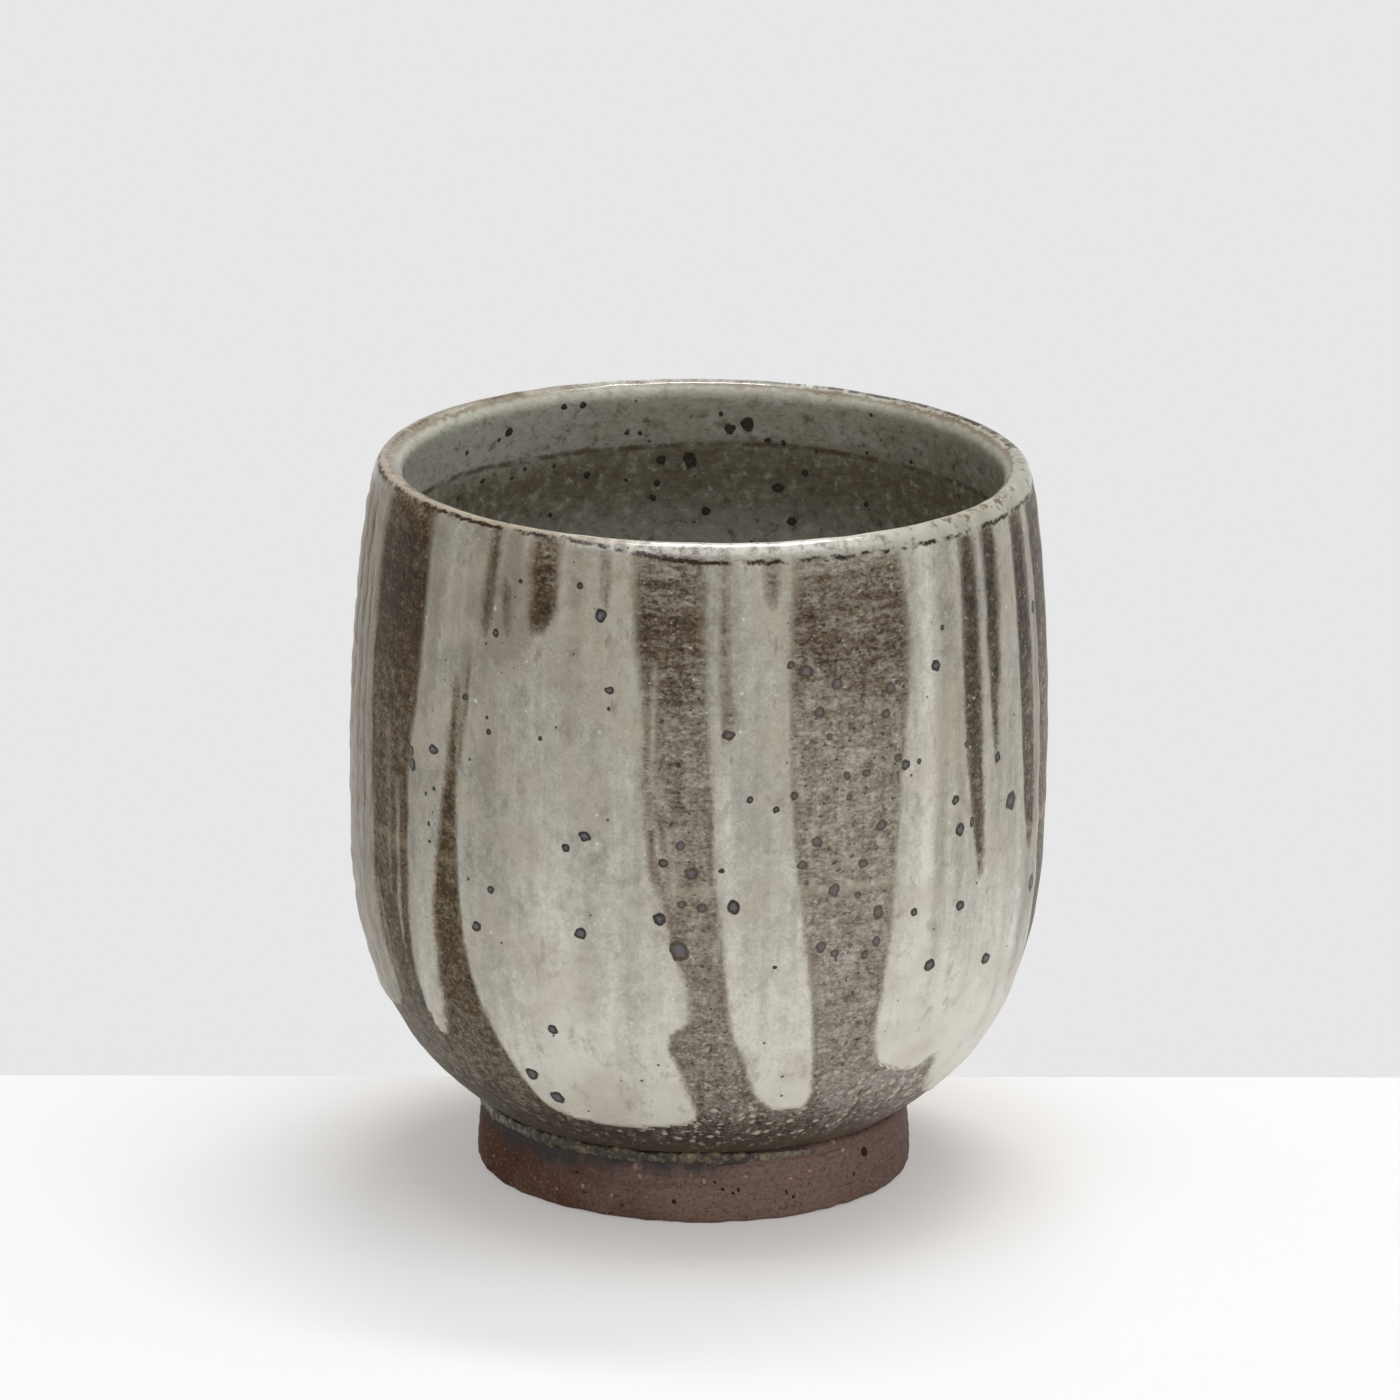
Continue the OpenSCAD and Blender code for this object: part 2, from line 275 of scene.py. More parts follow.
def coat_fields(point):
    radius = math.hypot(point.x, point.y)
    outside = is_outside(radius, point.z)
    path = path_from_ridge((radius, point.z), outside)
    if not outside and point.z < LINE:
        return Skin(-FAR, 0, path, None, 0)
    bearing = bearing_of(point)
    away = outward(bearing)
    height = min(point.z, LINE - 0.1 * MM)
    lift = Vector((0, 0, height))
    hit = RUN_FACES.ray_cast(away * OFF_CUP + lift, -away, OFF_CUP - 10 * MM)[0]
    nearest = RUN_RIMS.find_nearest(away * lookup(WALL_RADII, height) + lift)
    gap = min(nearest[3] / MM, FAR)
    pour = gap if hit else -gap
    for stroke in STROKES:
        share, across = stroke_share(stroke, point)
        if not -0.15 < share < 1.15:
            continue
        half, level = stroke[4:]
        taper = smooth(share, 1.15, 0.7) * smooth(share, -0.15, 0.1)
        field = (half * taper - across) * 1.2
        if level > 0:
            pour = max(pour, min(field, level))
        else:
            pour = min(pour, max(-field, level))
    height = point.z / MM
    iron = lookup(IRON_ROUND, bearing)
    iron += (lookup(IRON_LOW, bearing) - iron) * smooth(height, 33, 20) + lookup(IRON_UP, height)
    # Pale glaze thickness, with painted light and shade by bearing and height
    wash = lookup(WASH_AND_LIGHT_ROUND, bearing) + lookup(WASH_AND_LIGHT_UP, height)
    # Painted sheen low at the right
    across, up = (bearing - LOW_RIGHT_SHEEN[0]) * 0.6, height - LOW_RIGHT_SHEEN[1]
    wash += 0.9 * math.exp(-(across ** 2 + up ** 2) / LOW_RIGHT_SHEEN[2] ** 2)
    for streak in STREAKS:
        share, across = stroke_share(streak, point)
        if -0.1 < share < 1.1 and across < streak[4] * 3:
            ends = smooth(share, -0.1, 0.1) * smooth(share, 1.1, 0.8)
            wash += streak[5] * ends * math.exp(-(across / streak[4]) ** 2)
    return Skin(pour, iron, path, RIM_OWNERS[nearest[2]], wash)


def paint(obj, **fields):
    """Writes lists of numbers, one for each vertex, as named attributes of a piece."""
    for name, values in fields.items():
        layer = obj.data.attributes.get(name) or obj.data.attributes.new(name, "FLOAT", "POINT")
        layer.data.foreach_set("value", values)


def values_of(obj, name):
    return [mark.value for mark in obj.data.attributes[name].data]


def forget(obj, *names):
    for name in names:
        obj.data.attributes.remove(obj.data.attributes[name])


def paint_coat(obj, fields, spot):
    keys = ("pour", "iron", "path", "wash")
    paint(obj, **{key: [getattr(f, key) for f in fields] for key in keys}, spot=spot)


# Modelling helpers

def start_fresh():
    if bpy.context.object and bpy.context.object.mode != "OBJECT":
        bpy.ops.object.mode_set(mode="OBJECT")
    bpy.ops.object.select_all(action="DESELECT")


def only(obj):
    """Selects one object and makes it the active one."""
    start_fresh()
    obj.select_set(True)
    bpy.context.view_layer.objects.active = obj


def drawn_section(name, stations):
    """A section drawn in the XZ plane: one vertex, extruded from station to station."""
    start_fresh()
    bpy.ops.mesh.primitive_plane_add(size=MM, location=(0, 0, 0))
    obj = bpy.context.object
    obj.name = obj.data.name = name
    bpy.ops.object.mode_set(mode="EDIT")
    bpy.ops.mesh.merge(type="CENTER")
    bpy.ops.transform.translate(value=(stations[0][0], 0, stations[0][1]))
    for a, b in zip(stations, stations[1:]):
        step = (b[0] - a[0], 0, b[1] - a[1])
        bpy.ops.mesh.extrude_region_move(TRANSFORM_OT_translate={"value": step})
    return obj


def turned(name, stations, steps, levels=2, sweep=TURN, close=False):
    """A turned piece: a drawn section is spun round the axis, merged and smoothed."""
    obj = drawn_section(name, stations)
    if close:
        bpy.ops.mesh.select_all(action="SELECT")
        bpy.ops.mesh.edge_face_add()
        bpy.ops.mesh.delete(type="ONLY_FACE")
    bpy.ops.mesh.select_all(action="SELECT")
    bpy.ops.mesh.spin(steps=steps, angle=sweep, center=(0, 0, 0), axis=(0, 0, 1))
    bpy.ops.mesh.select_all(action="SELECT")
    bpy.ops.mesh.remove_doubles(threshold=0.01 * MM)
    bpy.ops.mesh.normals_make_consistent(inside=False)
    bpy.ops.object.mode_set(mode="OBJECT")
    widest = max(obj.data.polygons, key=lambda face: face.center.xy.length)
    if widest.normal.xy.dot(widest.center.xy) < 0:
        obj.data.flip_normals()
    if levels:
        smoothing = obj.modifiers.new("smoothing", "SUBSURF")
        smoothing.levels = smoothing.render_levels = levels
        bpy.ops.object.modifier_apply(modifier=smoothing.name)
    bpy.ops.object.shade_smooth()
    return obj


def worked(obj, shift):
    """Moves every vertex along its normal by what shift says for it, in mm."""
    mesh = obj.data
    normals = [v.normal.copy() for v in mesh.vertices]
    for v, normal in zip(mesh.vertices, normals):
        v.co += normal * (shift(v.co, v.index) * MM)
    mesh.update()


def split_off(obj, name, chosen):
    """Parts the chosen faces from a piece, as a piece of their own."""
    only(obj)
    bpy.ops.object.mode_set(mode="EDIT")
    bpy.ops.mesh.select_mode(type="FACE")
    bpy.ops.mesh.select_all(action="DESELECT")
    bpy.ops.object.mode_set(mode="OBJECT")
    obj.data.polygons.foreach_set("select", chosen)
    bpy.ops.object.mode_set(mode="EDIT")
    bpy.ops.mesh.separate(type="SELECTED")
    bpy.ops.mesh.select_mode(type="VERT")
    bpy.ops.object.mode_set(mode="OBJECT")
    part = next(other for other in bpy.context.selected_objects if other is not obj)
    part.name = part.data.name = name
    return part


def copied(obj, name):
    """A copy of a piece, with its own mesh."""
    twin = obj.copy()
    twin.data = obj.data.copy()
    twin.name = twin.data.name = name
    bpy.context.scene.collection.objects.link(twin)
    return twin


def joined(piece, others):
    """Joins other pieces to a piece."""
    only(piece)
    for other in others:
        other.select_set(True)
    if others:
        bpy.ops.object.join()


def lumps(point, size, seed=0):
    """Smooth noise from -1 to 1 with lumps of a size in mm."""
    return noise.noise(point / (size * MM) + Vector((seed, seed * 1.7, -seed)))


# Materials

# In mm: how far from the axis a grain's size round the cup holds, and the heights of the pale
# seam halfway down the wall and of the throwing line inside
WALL_RADIUS, SEAM, THROWING_LINE = 40, 46.9, 80.1
MID_GREY = (0.5, 0.5, 0.5, 1)


def tone(*screen):
    """A linear colour from its screen values, 0 to 255."""
    shares = [c / 255 for c in screen]
    return *(c / 12.92 if c <= 0.04045 else ((c + 0.055) / 1.055) ** 2.4 for c in shares), 1


class Wiring:
    """Adds nodes to a node tree and links them."""

    def __init__(self, tree):
        self.tree = tree

    def add(self, kind, inputs=None, **settings):
        node = self.tree.nodes.new("ShaderNode" + kind)
        for key, value in settings.items():
            setattr(node, key, value)
        for key, value in (inputs or {}).items():
            self.feed(node.inputs[key], value)
        return node

    def feed(self, socket, value):
        if isinstance(value, bpy.types.NodeSocket):
            self.tree.links.new(value, socket)
        else:
            socket.default_value = value

    def vector(self, operation, a, b=(0, 0, 0), scale=1):
        return self.add("VectorMath", {0: a, 1: b, 3: scale}, operation=operation).outputs[0]

    def math(self, operation, a, b=0):
        return self.add("Math", {0: a, 1: b}, operation=operation).outputs[0]

    def plus(self, total, *others):
        for other in others:
            total = self.math("ADD", total, other)
        return total

    def times(self, product, *others):
        for other in others:
            product = self.math("MULTIPLY", product, other)
        return product


class Finish(Wiring):
    """A procedural material, wired step by step. Sizes are in mm."""

    def __init__(self, name):
        self.material = bpy.data.materials.new(name)
        self.material.use_nodes = True
        super().__init__(self.material.node_tree)
        self.shader = self.tree.nodes["Principled BSDF"]
        self.place = self.vector("SCALE", self.add("TexCoord").outputs["Object"], scale=1 / MM)
        parts = self.add("SeparateXYZ", {0: self.place}).outputs
        self.height = parts[2]
        level = self.add("CombineXYZ", {0: parts[0], 1: parts[1], 2: 0}).outputs[0]
        self.away = self.vector("NORMALIZE", level)
        ways = self.add("SeparateXYZ", {0: self.away}).outputs
        self.side, self.back = ways[0], ways[1]

    def ramp(self, value, low, high, to_low=0, to_high=1, kind="LINEAR"):
        """Maps low..high to to_low..to_high and holds the ends."""
        return self.add("MapRange", {0: value, 1: low, 2: high, 3: to_low, 4: to_high},
                        interpolation_type=kind).outputs[0]

    def fit(self, *ends):
        """A ramp with an S-shaped rise."""
        return self.ramp(*ends, kind="SMOOTHSTEP")

    def between(self, share, at_none, at_full):
        return self.ramp(share, 0, 1, at_none, at_full)

    def layers(self, colour, *coats):
        """Lays coats over a colour. A coat is a colour, its share and what that is times."""
        for over, *shares in coats:
            node = self.add("Mix", data_type="RGBA")
            for index, value in ((0, self.times(*shares)), (6, colour), (7, over)):
                self.feed(node.inputs[index], value)
            colour = node.outputs[2]
        return colour

    def field(self, name):
        return self.add("Attribute", attribute_name=name).outputs["Fac"]

    def cells(self, size, seed):
        """Coordinates with cells of one size, or of one size round the cup and one up it."""
        if isinstance(size, tuple):
            ring = self.vector("SCALE", self.away, scale=WALL_RADIUS / size[0])
            rise = self.math("DIVIDE", self.height, size[1])
            spot = self.vector("ADD", ring, self.add("CombineXYZ", {2: rise}).outputs[0])
        else:
            spot = self.vector("SCALE", self.place, scale=1 / size)
        return self.vector("ADD", spot, (seed * 7.1, seed * -3.3, seed * 5.7)) if seed else spot

    def cloud(self, size, detail=2, rough=0.5, seed=0):
        return self.add("TexNoise", {"Scale": 1, "Detail": detail, "Roughness": rough,
                                     "Vector": self.cells(size, seed)}).outputs["Fac"]

    def dots(self, size, share, radius, seed=0):
        """Round dots in a share of the cells, with soft rims."""
        found = self.add("TexVoronoi", {"Scale": 1, "Vector": self.cells(size, seed)}).outputs
        pick = self.add("SeparateColor", {0: found["Color"]}).outputs[0]
        rim = self.fit(pick, 1 - share, 1, 0, radius)
        shape = self.ramp(found["Distance"], self.times(rim, 0.55), rim, 1, 0)
        return self.times(shape, self.math("GREATER_THAN", pick, 1 - share))

    def near_to(self, value, middle, half, soft):
        """1 within half of the middle, falling to 0 over soft."""
        off = self.math("ABSOLUTE", self.math("SUBTRACT", value, middle))
        return self.fit(off, half + soft, half)

    def swing(self, noise_value, reach):
        """A noise value turned into a shift of up to about reach either way."""
        return self.times(self.math("SUBTRACT", noise_value, 0.5), 2 * reach)

    def relief(self, *bumps):
        """Stacks bumps of (height field, depth in mm) onto the surface."""
        normal = {}
        for height, depth in bumps:
            node = self.add("Bump", {"Height": height, "Distance": depth * MM, "Strength": 1,
                                     **normal})
            normal = {"Normal": node.outputs[0]}
        self.feed(self.shader.inputs["Normal"], normal["Normal"])

    def done(self, colour, roughness, others=None):
        """Feeds the shader its colour, its roughness and other inputs by their names."""
        for key, value in {"Base Color": colour, "Roughness": roughness, **(others or {})}.items():
            self.feed(self.shader.inputs[key], value)
        return self.material


def poured_body(f, cup, fine):
    """The outside: pale pours over the mottled dark base. Gives colour, paleness and grog."""
    wobble = f.cloud((2.2, 5), 3, 0.6, 1.3)
    edge = f.plus(f.field("pour"), f.swing(wobble, 0.6), f.swing(f.cloud(0.5, 2, 0.65), 0.5))
    edge = f.times(edge, f.fit(f.height, 60, 86, 1, 0.6))
    paleness = f.fit(edge, -0.6, 0.5)

    # Pale glaze: soft streaks down the wall, thin brown places, paler where it gathers, with
    # painted light and shade in the same ramp
    veil = f.cloud((1.6, 4), 3, 0.65, 4.7)
    wash = f.plus(f.field("wash"), f.swing(f.cloud((2.2, 40), 3, 0.6, 2.1), 0.9),
                  f.swing(veil, 0.6), f.swing(f.cloud(1.6, 3, 0.7, 3.9), 0.9),
                  f.swing(fine, 0.7))
    # The ramp from dull to thick pale glaze also paints light and shade: lighter where light is
    # painted in, duller where shade is
    pale = f.layers(
        cup.pale_thin,
        (cup.pale_dull_and_shaded, f.ramp(wash, -2.3, -1.1)),
        (cup.pale, f.ramp(wash, -1.1, 0)),
        (cup.pale_thick_and_lit, f.ramp(wash, 0, 1.2)),
        (cup.pale_warm, f.fit(f.cloud(7), 0.4, 0.7, 0, 0.45)),
        (cup.pale_thin, f.fit(f.cloud((2.6, 3.4), 3, 0.65, 1.7), 0.55, 0.75, 0, 0.45)),
        (cup.pale_thin, f.fit(veil, 0.58, 0.74), f.fit(f.height, 30, 84, 0.1, 0.7)),
        # White flecks in the pale glaze, partly painted glints
        (cup.white_fleck_and_highlight, f.dots(2.1, 0.4, 0.16, 6), 0.55),
        # Painted shade: thinner, darker glaze along the far left edge, broken into streaks
        (cup.pale_thin, f.fit(f.side, -0.8, -0.93), f.fit(veil, 0.4, 0.6, 0.3, 0.9)))

    # Dark glaze: brown in all tones, a little drawn out level, with level streaks under the lip
    high, foot_zone = f.fit(f.height, 66, 76), f.fit(f.height, 36, 13)
    left = f.fit(f.side, -0.3, -0.7)
    patches = f.cloud((1.9, 1.1), 3, 0.7, 8.1)
    grains = f.cloud((0.6, 0.4), 2, 0.7, 0.7)
    weight = f.plus(
        f.field("iron"),
        f.times(f.swing(f.cloud((9, 1.1), 3, 0.7, 3.4), 0.6), f.between(high, 0.3, 1)),
        f.times(f.swing(f.cloud((1.5, 5), 3, 0.6, 5.2), 0.5), f.between(high, 1, 0.4)),
        f.plus(f.between(high, 0, 0.12), f.between(left, 0, -0.22)))
    depth = f.plus(weight, f.times(f.plus(f.swing(patches, 0.75), f.swing(grains, 0.8)),
                                   f.between(left, 1, 1.2)))
    fleck_from = f.fit(weight, 0.2, 1.2, 0.66, 0.56)
    cream_from = f.between(foot_zone, 0.66, 0.59)
    grog = f.times(f.dots((1.4, 0.85), 0.7, 0.5), f.between(foot_zone, 0.1, 0.8),
                   f.fit(f.side, -0.55, 0, 0.45, 1))
    dark = f.layers(
        cup.base_pale,
        (cup.base_light, f.ramp(depth, -0.1, 0.5)),
        (cup.base_brown, f.ramp(depth, 0.5, 1)),
        (cup.base_black, f.ramp(depth, 1, 1.6)),
        (cup.base_black, f.ramp(f.cloud((0.7, 0.6), 1, 0.5, 6.3),
                                fleck_from, f.plus(fleck_from, 0.1), 0, 0.75)),
        (cup.cream, f.ramp(f.cloud((1.1, 0.7), 2, 0.6, 8.8),
                           cream_from, f.plus(cream_from, 0.1), 0, 0.8),
         f.fit(f.side, -0.55, 0, 0.5, 1)),
        (cup.cream, f.near_to(f.plus(f.height, f.swing(patches, 1.2)), SEAM, 0.25, 0.6),
         f.fit(grains, 0.35, 0.65, 0, 0.5)),
        (cup.cream, grog))
    # Browner dark glaze at the left, with painted shade: its value falls to 0.62 towards the left
    # side
    strong = f.times(f.between(left, 1, 1.62), f.between(foot_zone, 1, 0.75))
    dark = f.add("HueSaturation", {"Saturation": strong, "Value": f.between(left, 1, 0.62),
                                   "Color": dark}).outputs[0]
    # Painted shade: the base glaze darkens towards the crease over the foot
    dark = f.layers(dark, (cup.crease_shade, f.fit(f.height, 13, 9.4, 0, 0.85)))

    # Thin brown fringe here and there where the pour ends
    fringe = f.times(f.fit(edge, -0.95, -0.3), f.fit(edge, 0.4, -0.1),
                     f.fit(wobble, 0.4, 0.65, 0, 0.4))
    return f.layers(dark, (pale, paleness), (cup.fringe, fringe)), paleness, grog


def hollow_body(f, cup):
    """Colour of the inside: grey-green above the throwing line, brown-grey below it."""
    blotch = f.cloud((2.4, 2), 3, 0.65, 6.6)
    run_off = f.cloud((9, 2.2), 3, 0.6, 6.1)
    curd = f.cloud(1.3, 3, 0.7, 5.3)
    height = f.plus(f.height, f.swing(f.cloud((34, 34), 1, 0.5, 0.4), 1.6))
    ragged = f.plus(height, f.swing(blotch, 1.6))
    broken = f.fit(f.cloud((5, 5), 3, 0.6, 2.2), 0.36, 0.55)
    upper = f.layers(
        cup.inside_high,
        (cup.inside_pale, f.fit(run_off, 0.4, 0.7)),
        (cup.inside_low, f.fit(blotch, 0.45, 0.7, 0, 0.5)))
    return f.layers(
        cup.inside_low,
        (cup.inside_green, f.fit(blotch, 0.42, 0.66)),
        (cup.inside_brown, f.fit(run_off, 0.5, 0.75, 0, 0.6)),
        # Painted light: the lower inside, which faces up, is lighter
        (cup.inside_milk_and_light, f.fit(f.height, 78, 67, 0, 0.5)),
        (upper, f.fit(ragged, 77.6, 83)),
        # Painted light on the left wall, which faces the light from the right
        (cup.inside_milk_and_light, f.fit(f.side, -0.2, -0.8, 0, 0.75), f.fit(ragged, 77, 81)),
        # Painted shade on the right inner wall
        (cup.inside_low, f.fit(f.side, 0.35, 0.9, 0, 0.5)),
        (cup.inside_line, f.near_to(height, THROWING_LINE, 0.12, 0.45), broken, 0.85),
        (cup.inside_brown, f.near_to(ragged, THROWING_LINE - 0.8, 0.4, 0.8),
         f.fit(broken, 0.3, 1, 0.8, 0.3), 0.5),
        (cup.inside_line, f.fit(curd, 0.5, 0.75, 0, 0.75)),
        (cup.inside_milk_and_light, f.fit(curd, 0.48, 0.25, 0, 0.6)),
        (cup.lip_green, f.fit(f.plus(f.height, f.swing(blotch, 2)), 84, 88, 0, 0.4)),
        (cup.iron_dark, f.dots(2.6, 0.5, 0.14, 1.9), 0.8))


def lip_body(f, cup, colour, path):
    """The lip: clay breaking through at the left, glaze flowing over at the right, and thin
    broken brown lines on both sides of the crest."""
    slow = f.cloud((16, 16), 2, 0.5, 7.7)
    rough = f.cloud(1.4, 3, 0.7, 4.4)
    broken = f.fit(f.cloud((3.2, 3.2), 3, 0.75, 9.4), 0.38, 0.54)
    along = f.plus(path, f.swing(rough, 0.9))
    right = f.fit(f.plus(f.side, f.swing(slow, 0.5)), 0.15, 0.6)
    under = f.math("SUBTRACT", f.plus(path, f.swing(rough, 0.6)),
                   f.fit(f.side, -0.45, 0.05, -0.85, -2.45))
    top = f.plus(path, f.swing(rough, 0.5))
    crest = f.times(f.fit(f.back, -0.1, 0.3), f.fit(f.side, 0.05, 0.35, 0.3, 1))
    middle = f.times(f.near_to(f.side, 0.08, 0.25, 0.4), f.fit(rough, 0.62, 0.42))
    return f.layers(
        colour,
        (cup.lip_green, f.near_to(along, -0.7, 1.6, 0.8), right, 0.75),
        (cup.lip, f.near_to(along, -0.3, 0.3, 0.4), f.between(right, 0.85, 0.3)),
        # Painted highlight: near-white along the crest at the front
        (cup.white_fleck_and_highlight, f.near_to(along, -0.5, 0.9, 0.5), middle, 0.7),
        (cup.lip_line, f.near_to(under, 0, 0.1, 0.3), broken),
        (cup.lip_line, f.near_to(top, 0.12, 0.35, 0.35), f.times(crest, broken)),
        (cup.base_brown, f.near_to(path, -0.6, 1.6, 0.6), f.fit(rough, 0.52, 0.66, 0, 0.85),
         f.fit(f.side, 0.2, 0.8, 0.25, 1)),
        (cup.fringe, f.near_to(along, 1.3, 0.1, 0.4), f.fit(slow, 0.6, 0.4, 0.2, 0.7)))


def glaze(name, cup, outside=True, inside=True):
    """The glaze of a coat. All coats read the same fields, so borders run on between them."""
    f = Finish(name)
    path, spot = f.field("path"), f.field("spot")
    fine = f.cloud(0.36, 2, 0.6)
    rough, ring, clear, bumps = 0.36, 0.9, 0.2, []
    if outside:
        colour, paleness, grog = poured_body(f, cup, fine)
        rough, ring, clear = f.between(paleness, 0.48, 0.33), f.between(paleness, 0.6, 0.95), 0.75
        bumps = [(grog, 0.06)]
    if inside:
        hollow = hollow_body(f, cup)
        colour = f.layers(colour, (hollow, f.fit(path, 0.3, 2.2))) if outside else hollow
    specks = f.math("MAXIMUM", f.dots(2.1, 0.42, 0.13), f.dots(1.4, 0.2, 0.13, 7))
    uneven = f.plus(spot, f.swing(fine, 0.35))
    colour = f.layers(
        lip_body(f, cup, colour, path),
        (cup.iron_dark, specks, 0.85),
        # Iron spots: brown halo, dark ring, blue-grey middle
        (cup.fringe, f.fit(spot, 0, 0.14, 0, 0.6)),
        (cup.iron_dark, f.fit(uneven, 0, 0.2), f.fit(spot, 0, 0.05), ring),
        (cup.iron_blue, f.fit(uneven, 0.36, 0.72, 0, clear)))

    pits = f.dots(1.7, 0.45, 0.15, 3.3)
    shine = f.near_to(path, -0.2, 1.6, 1.2)
    calm = f.between(shine, 1, 0.14)
    f.relief((f.times(f.cloud(1.5, 2, 0.55, 9.1), calm), 0.22), (f.times(fine, calm), 0.08),
             (f.math("SUBTRACT", 1, pits), 0.08), *bumps)
    rough = f.times(f.plus(rough, f.swing(fine, 0.08)), f.between(shine, 1, 0))
    crest = f.times(f.near_to(path, -0.45, 1.1, 0.6), f.near_to(f.side, 0.1, 0.35, 0.4))
    return f.done(colour, f.plus(rough, f.times(shine, 0.13)), {
        "Specular IOR Level": 0.25, "Coat Weight": f.times(crest, cup.lip_gloss),
        "Coat IOR": 2, "Coat Roughness": 0.12})


def bare_clay(name, cup):
    """Bare fired clay: red-brown, darker and redder at the left, with grog, pits and turning
    lines."""
    f = Finish(name)
    turning = f.cloud((45, 0.55), 3, 0.6, 1.1)
    grit = f.cloud(0.45, 2, 0.7)
    torn = f.cloud((1.8, 0.45), 3, 0.7, 6.9)
    chips = f.times(f.dots((1.2, 0.8), 0.35, 0.24, 5.5), 0.7)
    pits = f.dots((1.9, 0.8), 0.22, 0.15, 2.2)
    warm = f.plus(f.side, f.fit(f.cloud(9), 0.3, 0.7, -0.25, 0.25))
    mark = f.field("mark")
    mark = f.plus(mark, f.times(f.swing(grit, 1.6), f.math("ABSOLUTE", mark)))
    blush = f.plus(f.height, f.fit(f.cloud((3, 4), 3), 0.3, 0.7, -0.9, 0.9),
                   f.fit(f.side, -0.45, -0.65))
    clay = f.layers(
        cup.clay_burnt,
        (cup.clay, f.ramp(warm, -1.05, 0)),
        (cup.clay_dark, f.fit(f.side, 0.5, 1, 0, 0.45)),
        (cup.clay_dark, f.fit(turning, 0.5, 0.75, 0, 0.4)),
        (cup.clay_dark, f.fit(grit, 0.5, 0.7, 0, 0.6)),
        (cup.clay_pale, f.fit(grit, 0.46, 0.28, 0, 0.5)),
        (cup.clay_dark, f.ramp(torn, 0.58, 0.7, 0, 0.7)),
        (cup.clay_pale, f.ramp(torn, 0.4, 0.3, 0, 0.5)),
        (cup.clay_chip, f.math("MAXIMUM", chips, f.fit(mark, 0.3, 0.5)), 0.8),
        (cup.clay_pit, f.math("MAXIMUM", f.times(pits, 0.7), f.fit(mark, -0.3, -0.5))),
        (cup.blush, f.fit(blush, 5.3, 8.1), f.fit(f.side, 0.3, 0, 0, 0.85)))
    f.relief((turning, 0.1), (torn, 0.12), (grit, 0.1), (f.math("SUBTRACT", 1, pits), 0.2),
             (chips, 0.06))
    return f.done(clay, f.fit(grit, 0.3, 0.7, 0.62, 0.8), {"Specular IOR Level": 0.15})


def beaded_glaze(name, cup):
    """The thick greenish edge where the glaze stopped on the foot."""
    f = Finish(name)
    bead = f.cloud(0.8, 3, 0.7)
    share = f.plus(bead, f.swing(f.cloud(4, 2, 0.6, 2.7), 0.3))
    f.relief((bead, 0.1))
    colour = f.layers(
        cup.roll_dark,
        (cup.roll_green, f.ramp(share, 0.44, 0.72)),
        (cup.cream, f.dots(1.2, 0.3, 0.3, 4), 0.6))
    return f.done(colour, f.fit(bead, 0.3, 0.7, 0.3, 0.5))


# Pieces

# Throwing marks on the wall: the step of the ribs and the height of the level ridge in mm, and
# the bearing of the scarred side
RIB_STEP, RIDGE_HEIGHT, SCARRED = 7.5, 47.1, -98


def placed(obj, material, node):
    """Gives a finished piece its material and its body, and hides the CAD node that it stands for.
    """
    obj.data.materials.clear()
    obj.data.materials.append(material)
    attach(obj, "root")
    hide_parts(node)


